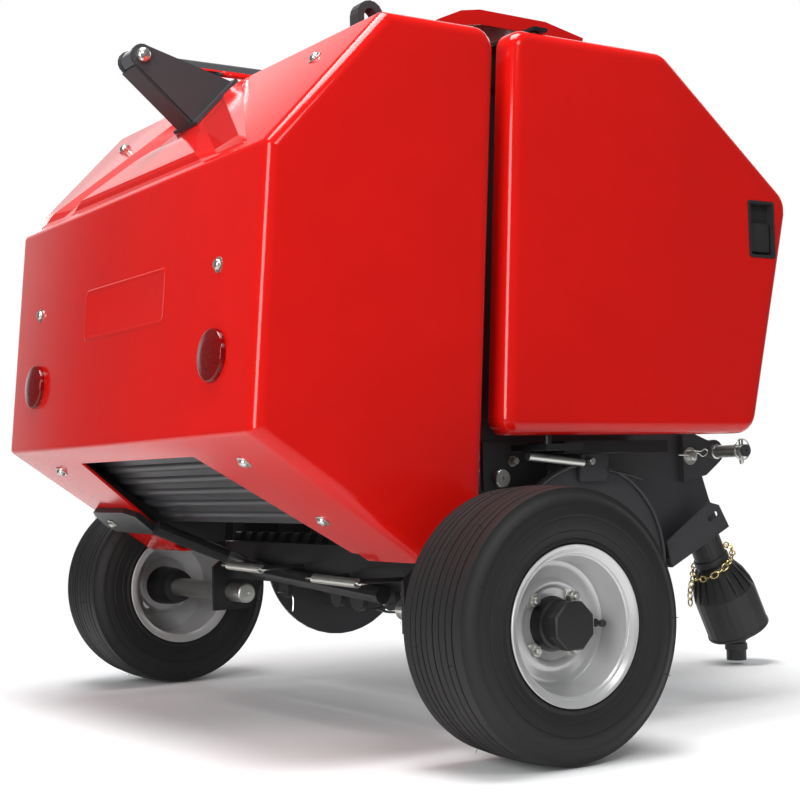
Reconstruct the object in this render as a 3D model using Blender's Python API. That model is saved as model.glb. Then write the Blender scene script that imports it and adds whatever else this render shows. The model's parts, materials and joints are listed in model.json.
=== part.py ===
"""Mini round baler for a compact tractor: a three-point machine on two small wheels.

Metres, +Z up, +Y towards the tractor, +X to the right.  The figures below are
measured from the wheels' axis on the ground (Y = 0, Z = 0); the empty "machine"
then sets the origin under the middle of the whole machine.
"""
import math

import bmesh
import bpy
from mathutils import Matrix, Vector

for old in list(bpy.data.objects):
    bpy.data.objects.remove(old, do_unlink=True)

# ---------------------------------------------------------------- named sizes
GAP = 0.0003                # left between pieces that touch
CLEAR = 0.008               # left between a moving piece and what it passes

WIDTH = 1.012               # over the red covers
COVER_DEPTH = 0.045         # how far a moulded cover reaches in from its face
COVER_WALL = 0.005
COVER_ROUND = 0.020         # rounded outer edge of a cover
SHEET = 0.004               # folded sheet of the tailgate's centre
HOOD_SHEET = 0.003

CHAMBER_WIDTH = 0.704       # clear width between the chamber's side plates
SIDE_PLATE = 0.006
CHAMBER_Y = 0.030           # the bale's centre
CHAMBER_Z = 0.700
BALE_RADIUS = 0.250
ROLLER_RADIUS = 0.045
STRIP_WIDTH = 0.050         # bearing strip that carries the rollers' ends
STRIP_THICK = 0.006

TAILGATE_TOP = 1.117
TAILGATE_BOTTOM = 0.284
TAILGATE_REAR = -0.393
HINGE_Y = 0.056
HINGE_Z = 1.095
HINGE_PIN_RADIUS = 0.009
HINGE_EYE_RADIUS = 0.020
HINGE_LUG = 0.008

RAM_PIN_Y = -0.335          # the ram's eye on the tailgate
RAM_Z = 1.138
RAM_BASE_Y = 0.440
RAM_BARREL_RADIUS = 0.024
RAM_ROD_RADIUS = 0.0115
RAM_GLAND_Y = 0.045         # where the barrel ends and the rod comes out
RAM_EYE_RADIUS = 0.018
RAM_EYE_HALF = 0.0215       # half the width of either eye
RAM_STROKE = 0.1365
CHEEK = 0.008               # side cheek of a clevis

AXLE_Z = 0.199
TYRE_CLEAR = 0.057          # between a cover's face and the tyre beside it
TYRE_RADIUS = 0.199
TYRE_WIDTH = 0.166
RIM_RADIUS = 0.1016         # where the bead sits on an 8 inch rim
RIM_FLANGE_RADIUS = 0.1155
RIM_WALL = 0.004
RIM_DISC_X = 0.022          # disc's outer face, out from the wheel's middle
HUB_RADIUS = 0.036
STUB_RADIUS = 0.0185
STUB_INNER = 0.280          # inner end of a stub axle, from the middle
BRACKET_PLATE = 0.008       # upright plate that carries a stub axle
BRACKET_SET_IN = 0.016      # its inner face, in from the chamber's side plate

PICKUP_Y = 0.285
PICKUP_Z = 0.262
PICKUP_WIDTH = 0.800
PICKUP_DISC_RADIUS = 0.170
PICKUP_DISC = 0.006
REEL_BAR_CIRCLE = 0.085
REEL_BAR_RADIUS = 0.010
REEL_TUBE_RADIUS = 0.030
REEL_SHAFT_RADIUS = 0.015
STRIPPER_RADIUS = 0.112
STRIPPER_THICK = 0.004
STRIPPER_WIDTH = 0.014
STRIPPER_COUNT = 9

DOOR_HINGE_IN = 0.028       # a side cover's hinge line, in from its face
DOOR_HINGE_Y = 0.153
DOOR_PIN_RADIUS = 0.006

JOINT_Y = 0.786             # universal joint of the driveline
JOINT_Z = 0.600
DRIVELINE_LEAN = 25.3       # degrees forward of hanging straight down
DRIVELINE_TUBE = 0.034
BELL_START = 0.486          # the bell guard, along the driveline
BELL_END = 0.584
BELL_RADIUS = 0.066
BELL_WALL = 0.005
YOKE_RADIUS = 0.021
YOKE_FOOT = 0.008           # lowest point of the yoke above the ground

HITCH_Y = 0.622
HITCH_Z = 0.447
HITCH_PIN_RADIUS = 0.011
HITCH_PIN_OUT = 0.450
HITCH_PIN_IN = 0.022        # the pin's inner end, in from the chamber's side plate

STAND_X = 0.120
STAND_Y = 0.530             # pivot of the parking leg
STAND_Z = 0.335
STAND_TUBE = 0.036
STAND_PIN_RADIUS = 0.008
STAND_SET_BACK = 0.030      # its foot is this far behind its pivot

ROUND = 24                  # sides of a turned piece
ROUND_WHEEL = 48

# ------------------------------------------------------------- worked out sizes
HALF = WIDTH / 2
COVER_INNER = HALF - COVER_DEPTH
PLATE_INNER = CHAMBER_WIDTH / 2
PLATE_OUTER = PLATE_INNER + SIDE_PLATE
CROSS_HALF = PLATE_INNER - GAP              # beams that fit between the plates
ROLLER_CIRCLE = BALE_RADIUS + ROLLER_RADIUS
BRACKET_INNER = PLATE_INNER - BRACKET_SET_IN
DOOR_HINGE_X = HALF - DOOR_HINGE_IN
WHEEL_X = HALF + TYRE_CLEAR + TYRE_WIDTH / 2
PICKUP_HALF = PICKUP_WIDTH / 2

# Outer faces of the tailgate from its top front edge round to its bottom, as (y, z).
TAILGATE_PROFILE = (
    (0.056, TAILGATE_TOP),          # top, at the split
    (-0.152, TAILGATE_TOP),         # top rear edge
    (-0.358, 0.900),                # foot of the upper slope
    (TAILGATE_REAR, 0.483),         # foot of the rear face
    (-0.106, TAILGATE_BOTTOM),      # foot of the lower slope
    (-0.003, TAILGATE_BOTTOM),      # bottom front corner
)
# Outline of a front side cover, as (y, z).
DOOR_PROFILE = (
    (0.0875, 1.123),                # top rear
    (0.411, 1.123),                 # top front
    (0.699, 0.890),                 # nose
    (0.594, 0.476),                 # bottom front
    (0.047, 0.476),                 # bottom rear
)

# -------------------------------------------------------------------- materials
PAINTS = {                          # name: (colour, roughness, metallic)
    "red_paint": ((0.62, 0.012, 0.008), 0.25, 0.0),
    "dark_paint": ((0.055, 0.055, 0.058), 0.45, 0.0),
    "black_paint": ((0.018, 0.018, 0.019), 0.45, 0.0),
    "rim_silver": ((0.48, 0.49, 0.50), 0.35, 0.6),
    "zinc": ((0.60, 0.60, 0.58), 0.35, 0.9),
    "chrome": ((0.80, 0.80, 0.80), 0.08, 1.0),
    "rubber": ((0.020, 0.020, 0.020), 0.80, 0.0),
    "cast_iron": ((0.050, 0.050, 0.052), 0.60, 0.3),
    "black_plastic": ((0.015, 0.015, 0.015), 0.50, 0.0),
}


def paint(name):
    """The named paint as a material, made once."""
    if name in bpy.data.materials:
        return bpy.data.materials[name]
    colour, roughness, metallic = PAINTS[name]
    material = bpy.data.materials.new(name)
    material.use_nodes = True
    shader = material.node_tree.nodes["Principled BSDF"]
    shader.inputs["Base Color"].default_value = (*colour, 1.0)
    shader.inputs["Roughness"].default_value = roughness
    shader.inputs["Metallic"].default_value = metallic
    return material


# ------------------------------------------------------------- joints as empties
def empty(name, place, parent=None):
    """An empty at a place given from the wheels' axis."""
    holder = bpy.data.objects.new(name, None)
    bpy.context.scene.collection.objects.link(holder)
    holder.location = Vector(place)
    if parent is not None:
        holder.parent = parent
        holder.location = Vector(place) - Vector(parent["place"])
    holder["place"] = place
    return holder


lean = math.radians(DRIVELINE_LEAN)
FRONT_END = JOINT_Y + BELL_END * math.sin(lean) + BELL_RADIUS * math.cos(lean)
ORIGIN_Y = (FRONT_END + TAILGATE_REAR) / 2

machine = empty("machine", (0.0, 0.0, 0.0))
machine.location.y = -ORIGIN_Y
bodies = {"frame": machine}
for body, place, parent in (
    ("tailgate", (0.0, HINGE_Y, HINGE_Z), "frame"),
    ("ram_barrel", (0.0, RAM_BASE_Y, RAM_Z), "frame"),
    ("ram_rod", (0.0, RAM_PIN_Y, RAM_Z), "ram_barrel"),
    ("cover_right", (DOOR_HINGE_X, DOOR_HINGE_Y, 0.8), "frame"),
    ("cover_left", (-DOOR_HINGE_X, DOOR_HINGE_Y, 0.8), "frame"),
    ("wheel_right", (WHEEL_X, 0.0, AXLE_Z), "frame"),
    ("wheel_left", (-WHEEL_X, 0.0, AXLE_Z), "frame"),
    ("pickup_reel", (0.0, PICKUP_Y, PICKUP_Z), "frame"),
    ("driveline", (0.0, JOINT_Y, JOINT_Z), "frame"),
    ("parking_stand", (STAND_X, STAND_Y, STAND_Z), "frame"),
):
    bodies[body] = empty(body + "_axis", place, bodies[parent])


# ------------------------------------------------------------------ shape makers
def finish(name, mesh_data, body, colour, smooth=False):
    """Turn a bmesh, modelled from the wheels' axis, into a named piece of a body."""
    bmesh.ops.recalc_face_normals(mesh_data, faces=mesh_data.faces)
    mesh = bpy.data.meshes.new(name)
    mesh_data.to_mesh(mesh)
    mesh_data.free()
    if smooth:
        mesh.shade_smooth()
        mesh.set_sharp_from_angle(angle=math.radians(35))
    piece = bpy.data.objects.new(name, mesh)
    bpy.context.scene.collection.objects.link(piece)
    holder = bodies[body]
    mesh.transform(Matrix.Translation(-Vector(holder["place"])))
    piece.parent = holder
    mesh.materials.append(paint(colour))
    return piece


def slab_mesh(outline, x_low, x_high):
    """A flat plate: an outline of (y, z) points from x_low to x_high."""
    shape = bmesh.new()
    face = shape.faces.new([shape.verts.new((x_low, y, z)) for y, z in outline])
    made = bmesh.ops.extrude_face_region(shape, geom=[face])["geom"]
    top = [vert for vert in made if isinstance(vert, bmesh.types.BMVert)]
    bmesh.ops.translate(shape, verts=top, vec=(x_high - x_low, 0.0, 0.0))
    return shape


def plate(name, outline, x_low, x_high, body, colour):
    return finish(name, slab_mesh(outline, x_low, x_high), body, colour)


def block(name, low, high, body, colour):
    """A square block between two corners."""
    outline = ((low[1], low[2]), (high[1], low[2]), (high[1], high[2]), (low[1], high[2]))
    return plate(name, outline, low[0], high[0], body, colour)


def turned(name, profile, body, colour, place, turn=None, sides=ROUND):
    """Spin a closed profile of (along, radius) points about a line.

    The line is +X through place, or +X turned by the matrix turn.
    """
    shape = bmesh.new()
    rings = []
    on_axis = {}
    for index in range(sides):
        # the half step keeps a corner exactly at the bottom
        angle = 2 * math.pi * index / sides - math.pi / 2
        ring = []
        for row, (along, radius) in enumerate(profile):
            if radius <= 0.0:
                if row not in on_axis:
                    on_axis[row] = shape.verts.new((along, 0.0, 0.0))
                ring.append(on_axis[row])
            else:
                ring.append(shape.verts.new(
                    (along, radius * math.cos(angle), radius * math.sin(angle))))
        rings.append(ring)
    count = len(profile)
    for index in range(sides):
        here, there = rings[index], rings[(index + 1) % sides]
        for row in range(count):
            after = (row + 1) % count
            corners = [here[row], here[after], there[after], there[row]]
            corners = [c for k, c in enumerate(corners) if c not in corners[:k]]
            if len(corners) > 2:
                shape.faces.new(corners)
    if turn is not None:
        bmesh.ops.transform(shape, matrix=turn, verts=shape.verts)
    bmesh.ops.translate(shape, verts=shape.verts, vec=place)
    return finish(name, shape, body, colour, smooth=True)


def rod(name, x_low, x_high, y, z, radius, body, colour, sides=ROUND):
    """A round bar along X."""
    profile = ((x_low, 0.0), (x_low, radius), (x_high, radius), (x_high, 0.0))
    return turned(name, profile, body, colour, (0.0, y, z), sides=sides)


def combine(piece, tools, operation):
    """Join shapes to a piece, or cut them out of it; the shapes are then guides."""
    for tool in tools:
        tool.hide_render = True
        tool.display_type = 'WIRE'
        step = piece.modifiers.new(operation.lower(), 'BOOLEAN')
        step.operation = operation
        step.object = tool
    return piece


def add(piece, *tools):
    return combine(piece, tools, 'UNION')


def cut(piece, *tools):
    return combine(piece, tools, 'DIFFERENCE')


def arc(centre, radius, start, end, steps):
    """Points of a round stretch from start to end, in degrees from +Y towards +Z."""
    points = []
    for index in range(steps + 1):
        angle = math.radians(start + (end - start) * index / steps)
        points.append((centre[0] + radius * math.cos(angle),
                       centre[1] + radius * math.sin(angle)))
    return points


def inset(profile, depth):
    """An outline moved inwards by depth: each corner goes to where the moved sides meet."""
    area = sum(a[0] * b[1] - b[0] * a[1]
               for a, b in zip(profile, profile[1:] + profile[:1]))
    side = 1.0 if area > 0 else -1.0
    moved = []
    count = len(profile)
    for index in range(count):
        before, here, after = profile[index - 1], profile[index], profile[(index + 1) % count]
        one = Vector((here[0] - before[0], here[1] - before[1])).normalized()
        two = Vector((after[0] - here[0], after[1] - here[1])).normalized()
        normal_one = Vector((-one.y, one.x)) * side
        normal_two = Vector((-two.y, two.x)) * side
        half = (normal_one + normal_two) / (1.0 + normal_one.dot(normal_two))
        moved.append((here[0] + depth * half.x, here[1] + depth * half.y))
    return tuple(moved)


def folded(line, thickness):
    """The closed outline of a folded sheet: line is its outer face, wall on its left."""
    inner = []
    for index, here in enumerate(line):
        normals = []
        if index > 0:
            along = Vector((here[0] - line[index - 1][0], here[1] - line[index - 1][1])).normalized()
            normals.append(Vector((-along.y, along.x)))
        if index < len(line) - 1:
            along = Vector((line[index + 1][0] - here[0], line[index + 1][1] - here[1])).normalized()
            normals.append(Vector((-along.y, along.x)))
        total = normals[0] + normals[-1]
        total = total / (1.0 + normals[0].dot(normals[-1]))
        inner.append((here[0] + thickness * total.x, here[1] + thickness * total.y))
    return tuple(line) + tuple(reversed(inner))


SIDES = (("right", 1.0), ("left", -1.0))


def span(side, near, far):
    """The two X values of a piece between near and far, out from the middle, low first."""
    return tuple(sorted((side * near, side * far)))


# --------------------------------------------------------- moulded red covers
def pan(name, profile, side, body):
    """A moulded cover: rounded on its outer edges and open towards the machine."""
    shape = slab_mesh(profile, *span(side, COVER_INNER + GAP, HALF))
    outer = [edge for edge in shape.edges
             if all(abs(vert.co.x - side * HALF) < 1e-6 for vert in edge.verts)]
    bmesh.ops.bevel(shape, geom=outer, offset=COVER_ROUND, segments=4, profile=0.5,
                    affect='EDGES')
    piece = finish(name, shape, body, "red_paint", smooth=True)
    hollow = plate(name + "_hollow", inset(profile, COVER_WALL),
                   *span(side, COVER_INNER - 0.02, HALF - COVER_WALL - COVER_ROUND * 0.3),
                   body, "red_paint")
    return cut(piece, hollow)


def rounded(profile, corner, radius, steps=4):
    """The outline with one corner rounded to radius."""
    here = Vector(profile[corner])
    before = Vector(profile[corner - 1])
    after = Vector(profile[(corner + 1) % len(profile)])
    to_before, to_after = (before - here).normalized(), (after - here).normalized()
    half = to_before.angle(to_after) / 2
    middle = here + (to_before + to_after).normalized() * (radius / math.sin(half))
    first = here + to_before * (radius / math.tan(half))
    last = here + to_after * (radius / math.tan(half))
    points = []
    for index in range(steps + 1):
        share = index / steps
        chord = (first * (1 - share) + last * share - middle).normalized()
        points.append(tuple(middle + chord * radius))
    return tuple(profile[:corner]) + tuple(points) + tuple(profile[corner + 1:])


TAILGATE_SIDE = rounded(TAILGATE_PROFILE, 0, 0.035)
for label, side in SIDES:
    pan("tailgate_cover_" + label, TAILGATE_SIDE, side, "tailgate")
    pan("side_cover_" + label, DOOR_PROFILE, side, "cover_" + label)

# ------------------------------------------------------------- tailgate's centre
SHELL_FRONT = 0.020                 # front edge of the shell's top
shell_line = ((SHELL_FRONT, TAILGATE_TOP),) + TAILGATE_PROFILE[1:5]
shell = plate("tailgate_shell", folded(shell_line, SHEET),
              -COVER_INNER + GAP, COVER_INNER - GAP, "tailgate", "red_paint")

# The mouth in the lower slope widens from its top edge to the foot of the slope.
MOUTH_TOP_HALF = 0.232
MOUTH_FOOT_HALF = 0.340
MOUTH_START = 0.14                  # share of the slope above the mouth
slope_top, slope_foot = Vector(TAILGATE_PROFILE[3]), Vector(TAILGATE_PROFILE[4])
along_slope = (slope_foot - slope_top).normalized()
slope_length = (slope_foot - slope_top).length
out_of_slope = Vector((along_slope.y, -along_slope.x))
if out_of_slope.y > 0:
    out_of_slope = -out_of_slope
mouth = bmesh.new()
mouth_faces = []
for offset in (-0.02, 0.02):
    ring = []
    for distance, half in ((MOUTH_START * slope_length, MOUTH_TOP_HALF),
                           (slope_length * 1.1, MOUTH_FOOT_HALF + 0.1 * slope_length * 0.37)):
        point = slope_top + along_slope * distance + out_of_slope * offset
        ring.append((half, point))
    corners = [(-ring[0][0], ring[0][1]), (ring[0][0], ring[0][1]),
               (ring[1][0], ring[1][1]), (-ring[1][0], ring[1][1])]
    mouth_faces.append([mouth.verts.new((x, point.x, point.y)) for x, point in corners])
mouth.faces.new(mouth_faces[0])
mouth.faces.new(mouth_faces[1])
for index in range(4):
    after = (index + 1) % 4
    mouth.faces.new((mouth_faces[0][index], mouth_faces[0][after],
                     mouth_faces[1][after], mouth_faces[1][index]))
cut(shell, finish("mouth_cutter", mouth, "tailgate", "red_paint"))

# Slatted apron behind the mouth, between the tailgate's plates.
APRON_BACK = 0.035                  # in from the slope's outer face
APRON_SHEET = 0.003
APRON_START, APRON_END = 0.05, 0.85     # shares of the slope
apron_outline = [slope_top + along_slope * share * slope_length - out_of_slope * depth
                 for share, depth in ((APRON_START, APRON_BACK), (APRON_END, APRON_BACK),
                                      (APRON_END, APRON_BACK + APRON_SHEET),
                                      (APRON_START, APRON_BACK + APRON_SHEET))]
plate("tailgate_apron", [(point.x, point.y) for point in apron_outline], -CROSS_HALF, CROSS_HALF,
      "tailgate", "dark_paint")

# Raised boss on the upper slope that carries the ram's bracket.
HUMP_RISE = 0.003
HUMP_HALF_FOOT = 0.110
HUMP_HALF_TOP = 0.055
upper_top, upper_foot = Vector(TAILGATE_PROFILE[1]), Vector(TAILGATE_PROFILE[2])
down_slope = (upper_foot - upper_top).normalized()
upper_out = Vector((down_slope.y, -down_slope.x))
if upper_out.y < 0:
    upper_out = -upper_out


def on_upper_slope(distance, rise):
    """The (y, z) point at a distance down the upper slope and a rise above it."""
    return upper_top + down_slope * distance + upper_out * rise


hump = bmesh.new()
hump_rings = []
for rise, half, start, end in ((-0.002, HUMP_HALF_FOOT, 0.004, 0.215),
                               (HUMP_RISE, HUMP_HALF_TOP, 0.010, 0.150)):
    top_point, foot_point = on_upper_slope(start, rise), on_upper_slope(end, rise)
    hump_rings.append([hump.verts.new((x, point.x, point.y)) for x, point in (
        (-half, top_point), (half, top_point), (half, foot_point), (-half, foot_point))])
hump.faces.new(hump_rings[0])
hump.faces.new(hump_rings[1])
for index in range(4):
    after = (index + 1) % 4
    hump.faces.new((hump_rings[0][index], hump_rings[0][after],
                    hump_rings[1][after], hump_rings[1][index]))
add(shell, finish("hump_shape", hump, "tailgate", "red_paint"))

# ----------------------------------------------------- tailgate's inner plates
split_top, split_foot = TAILGATE_PROFILE[0], TAILGATE_PROFILE[5]


def split_y(z):
    """The tailgate's front edge at a height."""
    share = (split_top[1] - z) / (split_top[1] - split_foot[1])
    return split_top[0] + share * (split_foot[0] - split_top[0])


inner_profile = inset(TAILGATE_PROFILE, SHEET + 0.001)
tail_outline = (
    list(inner_profile[2:5])
    + [(split_y(0.300) - 0.006, 0.300)]
    + [(split_y(HINGE_Z - 0.05) - 0.006, HINGE_Z - 0.05)]
    + arc((HINGE_Y, HINGE_Z), HINGE_EYE_RADIUS, -60, 110, 8)
    + [(0.010, inner_profile[1][1]), inner_profile[1]])
for label, side in SIDES:
    wall = plate("tailgate_plate_" + label, tail_outline,
                 *span(side, PLATE_INNER, PLATE_OUTER), "tailgate", "dark_paint")
    cut(wall, rod("hinge_hole_" + label, *span(side, PLATE_INNER - 0.01, PLATE_OUTER + 0.01),
                  HINGE_Y, HINGE_Z, HINGE_PIN_RADIUS + GAP, "tailgate", "dark_paint"))


# ---------------------------------------------------------------- bale rollers
def roller_cage(name, angles, strip_start, strip_end, body):
    """Rollers round the bale, their ends held in a curved strip on each side."""
    centre = (CHAMBER_Y, CHAMBER_Z)
    low, high = ROLLER_CIRCLE - STRIP_WIDTH / 2, ROLLER_CIRCLE + STRIP_WIDTH / 2
    outline = arc(centre, high, strip_start, strip_end, 12) + arc(centre, low, strip_end, strip_start, 12)
    strips = [plate(name + "_strip_" + label, outline,
                    *span(side, CROSS_HALF - STRIP_THICK, CROSS_HALF), body, "dark_paint")
              for label, side in SIDES]
    tools = strips[1:]
    for number, angle in enumerate(angles):
        y = centre[0] + ROLLER_CIRCLE * math.cos(math.radians(angle))
        z = centre[1] + ROLLER_CIRCLE * math.sin(math.radians(angle))
        reach = CROSS_HALF - STRIP_THICK / 2
        tools.append(rod(name + "_roller_%d" % number, -reach, reach, y, z, ROLLER_RADIUS,
                         body, "dark_paint", sides=16))
    cage = add(strips[0], *tools)
    cage.name = name
    return cage


roller_cage("front_rollers", (74, 40, 6, -28, -78), -90, 80, "frame")
roller_cage("tailgate_rollers", (112, 146, 180, 214), 104, 232, "tailgate")

# ------------------------------------------------------------ front side plates
RELIEF = 0.030                      # plate cut back round the hinge's eye
PLATE_FOOT = 0.436                  # the plates' lower edge above the pickup
front_outline = (
    [(0.100, 1.100), (0.158, 1.100), (0.173, 1.086), (0.188, 1.100), (0.400, 1.100),
     (0.635, 0.900), (0.635, 0.850), (0.585, 0.500), (0.591, 0.431), (0.616, 0.361),
     (0.640, 0.316), (0.490, 0.245), (0.470, 0.262), (0.462, 0.330), (0.430, 0.400),
     (0.360, PLATE_FOOT), (0.200, PLATE_FOOT), (0.140, 0.400), (0.115, 0.350),
     (0.110, 0.300), (split_y(0.300) + 0.014, 0.300),
     (split_y(HINGE_Z - RELIEF) + 0.014, HINGE_Z - RELIEF)]
    + arc((HINGE_Y, HINGE_Z), RELIEF, -55, 20, 4))
lug_outline = (
    arc((HINGE_Y, HINGE_Z), HINGE_EYE_RADIUS, 90, 270, 8)
    + [(0.110, HINGE_Z - 0.035), (0.135, HINGE_Z - 0.035), (0.135, HINGE_Z + 0.012),
       (0.100, HINGE_Z + HINGE_EYE_RADIUS)])
for label, side in SIDES:
    plate("side_plate_" + label, front_outline, *span(side, PLATE_INNER, PLATE_OUTER),
          "frame", "dark_paint")
    lug = plate("tailgate_hinge_" + label, lug_outline,
                *span(side, PLATE_OUTER + GAP, PLATE_OUTER + GAP + HINGE_LUG),
                "frame", "dark_paint")
    add(lug, rod("hinge_pin_" + label, *span(side, PLATE_INNER - 0.004, PLATE_OUTER + 0.004),
                 HINGE_Y, HINGE_Z, HINGE_PIN_RADIUS, "frame", "zinc"))

# --------------------------------------------------------------- frame's beams
block("top_beam", (-CROSS_HALF, 0.410, 1.050), (CROSS_HALF, 0.460, 1.096), "frame", "dark_paint")
EYE_X = 0.055
eye_centre = (0.0975, 1.2575)
eye_outline = (
    [(0.070, 1.104)] + arc(eye_centre, 0.0275, 180, 0, 8) + [(0.125, 1.104), (0.111, 1.104)]
    + arc(eye_centre, 0.0135, 0, 180, 6) + [(0.084, 1.104)])
rear_bar = block("rear_top_bar", (-CROSS_HALF, 0.070, 1.062), (CROSS_HALF, 0.130, 1.106),
                 "frame", "dark_paint")
add(rear_bar, plate("lifting_eye", eye_outline, EYE_X - 0.014, EYE_X + 0.014, "frame", "dark_paint"))

# The ram's base clevis stands on the top beam.
clevis = block("ram_base", (-RAM_EYE_HALF - GAP - CHEEK, 0.412, 1.096 + GAP),
               (RAM_EYE_HALF + GAP + CHEEK, 0.458, 1.106), "frame", "dark_paint")
cheek_outline = [(0.415, 1.100), (0.459, 1.100)] + arc((RAM_BASE_Y, RAM_Z), 0.019, -10, 190, 8)
for label, side in SIDES:
    add(clevis,
        plate("base_cheek_" + label, cheek_outline,
              *span(side, RAM_EYE_HALF + GAP, RAM_EYE_HALF + GAP + CHEEK), "frame", "dark_paint"),
        rod("base_pin_" + label,
            *span(side, RAM_EYE_HALF + GAP + CHEEK / 2, RAM_EYE_HALF + GAP + CHEEK + 0.008), RAM_BASE_Y, RAM_Z, 0.010, "frame", "zinc"))

# Hood halves, each with the stay that holds it on the top beam.
HOOD_LINE = ((0.403, 1.197), (0.317, 1.215), (0.175, 1.217), (0.135, 1.210), (0.090, 1.190))
HOOD_NEAR, HOOD_FAR = 0.090, 0.300
HOOD_SKIRT = 0.026
lower_line = tuple(reversed(folded(HOOD_LINE, HOOD_SHEET)[len(HOOD_LINE):]))
hollow_outline = ((lower_line[0][0] + 0.02, lower_line[0][1] - 0.005),) + lower_line + (
    (lower_line[-1][0] - 0.02, lower_line[-1][1] - 0.009), (0.070, 1.110), (0.430, 1.110))
for label, side in SIDES:
    hood = plate("hood_" + label, folded(HOOD_LINE, HOOD_SKIRT),
                 *span(side, HOOD_NEAR, HOOD_FAR), "frame", "red_paint")
    cut(hood, plate("hood_hollow_" + label, hollow_outline,
                    *span(side, HOOD_NEAR - 0.01, HOOD_FAR - HOOD_SHEET), "frame", "red_paint"))
    stay = [(0.398, 1.1965), (0.340, 1.208), (0.340, 1.170), (0.412, 1.096 + GAP), (0.450, 1.096 + GAP)]
    add(hood, plate("hood_stay_" + label, stay, *span(side, 0.180, 0.190), "frame", "red_paint"))

shield_line = ((0.622, 0.916), (0.466, 1.090))
plate("front_shield", folded(shield_line, HOOD_SHEET), -CROSS_HALF, CROSS_HALF, "frame", "red_paint")

# Mast: two beams between the side plates, the top link's ears and the gearbox plate.
mast = block("mast", (-CROSS_HALF, 0.580, 0.850), (CROSS_HALF, 0.634, 0.899), "frame", "dark_paint")
ear_outline = ([(0.625, 0.852), (0.700, 0.852), (0.700, 0.900)]
               + arc((0.678, 0.920), 0.022, 0, 180, 6) + [(0.625, 0.896)])
mast_tools = [
    block("gearbox_plate", (-0.090, 0.560, 0.480), (0.090, 0.590, 0.855), "frame", "dark_paint"),
    block("gearbox_beam", (-CROSS_HALF, 0.550, 0.480), (CROSS_HALF, 0.5895, 0.520), "frame", "dark_paint")]
for label, side in SIDES:
    ear = plate("top_ear_" + label, ear_outline, *span(side, 0.026, 0.036), "frame", "dark_paint")
    cut(ear, rod("top_hole_" + label, *span(side, 0.02, 0.04), 0.678, 0.920, 0.0098, "frame", "dark_paint"))
    mast_tools.append(ear)
add(mast, *mast_tools)

gearbox = block("gearbox", (-0.085, 0.590 + GAP, 0.505), (0.085, 0.730, 0.705), "frame", "cast_iron")
shaft_turn = Matrix.Rotation(math.radians(90), 4, 'Z')
add(gearbox, turned("input_shaft", ((-0.02, 0.0), (-0.02, 0.017), (0.028, 0.017), (0.028, 0.0)),
                    "frame", "zinc", (0.0, 0.728, JOINT_Z), turn=shaft_turn))

block("front_beam", (-CROSS_HALF, 0.500, 0.365), (CROSS_HALF, 0.560, 0.405), "frame", "dark_paint")
stand_lug = block("stand_bracket", (STAND_X - 0.040, 0.500, 0.312), (STAND_X - 0.028, 0.560, 0.3647),
                  "frame", "dark_paint")
add(stand_lug,
    block("stand_lug_far", (STAND_X + 0.028, 0.500, 0.312), (STAND_X + 0.040, 0.560, 0.3647),
          "frame", "dark_paint"),
    block("stand_lug_top", (STAND_X - 0.040, 0.500, 0.3587), (STAND_X + 0.040, 0.560, 0.3647),
          "frame", "dark_paint"))
cut(stand_lug, rod("stand_hole", STAND_X - 0.05, STAND_X + 0.05, STAND_Y, STAND_Z,
                   STAND_PIN_RADIUS + GAP, "frame", "dark_paint"))

# ------------------------------------------------------- axle beam and stub axles
axle_beam = block("axle_beam", (-BRACKET_INNER - 0.0004, -0.015, 0.228), (BRACKET_INNER + 0.0004, 0.035, 0.300),
                  "frame", "black_paint")
bracket_outline = ((-0.042, 0.165), (0.040, 0.165), (0.104, 0.302), (0.104, 0.358),
                   (0.040, 0.358), (0.024, 0.300), (-0.042, 0.250))
for label, side in SIDES:
    bracket = plate("axle_bracket_" + label, bracket_outline,
                    *span(side, BRACKET_INNER, BRACKET_INNER + BRACKET_PLATE), "frame", "black_paint")
    pad_low, pad_high = span(side, BRACKET_INNER + BRACKET_PLATE / 2, CROSS_HALF)
    pad = block("axle_pad_" + label, (pad_low, 0.045, 0.303), (pad_high, 0.103, 0.357),
                "frame", "black_paint")
    hole = rod("axle_hole_" + label,
               *span(side, BRACKET_INNER - 2 * BRACKET_PLATE, BRACKET_INNER + 2 * BRACKET_PLATE),
               0.0, AXLE_Z, STUB_RADIUS + GAP,
               "frame", "black_paint")
    add(axle_beam, bracket, pad)
    cut(axle_beam, hole)
    rod("stub_axle_" + label, *span(side, STUB_INNER, WHEEL_X + 0.060), 0.0, AXLE_Z,
        STUB_RADIUS, "frame", "zinc")

# Bent tube behind the axle beam, over which the bale rolls off.
TUBE_RADIUS = 0.0140
tube_y = -0.015 - GAP - TUBE_RADIUS         # it lies against the axle beam's rear face
tube_path = ((-0.262, -0.195, 0.333), (-0.258, -0.130, 0.306), (-0.246, -0.055, 0.274),
             (-0.215, tube_y, 0.258), (-0.135, tube_y, 0.246), (0.076, tube_y, 0.233),
             (0.262, tube_y, 0.222))


def bent_tube(name, path, radius, body, colour, sides=12):
    """A round tube along a path of points, each ring standing square to the path."""
    shape = bmesh.new()
    points = [Vector(point) for point in path]
    rings = []
    for index, point in enumerate(points):
        along = (points[min(index + 1, len(points) - 1)] - points[max(index - 1, 0)]).normalized()
        across = along.cross(Vector((0.0, 0.0, 1.0))).normalized()
        over = across.cross(along)
        rings.append([shape.verts.new(point + radius * (math.cos(2 * math.pi * k / sides) * across
                                                        + math.sin(2 * math.pi * k / sides) * over))
                      for k in range(sides)])
    for here, there in zip(rings, rings[1:]):
        for k in range(sides):
            shape.faces.new((here[k], here[(k + 1) % sides], there[(k + 1) % sides], there[k]))
    shape.faces.new(rings[0])
    shape.faces.new(rings[-1])
    return finish(name, shape, body, colour, smooth=True)


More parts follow.
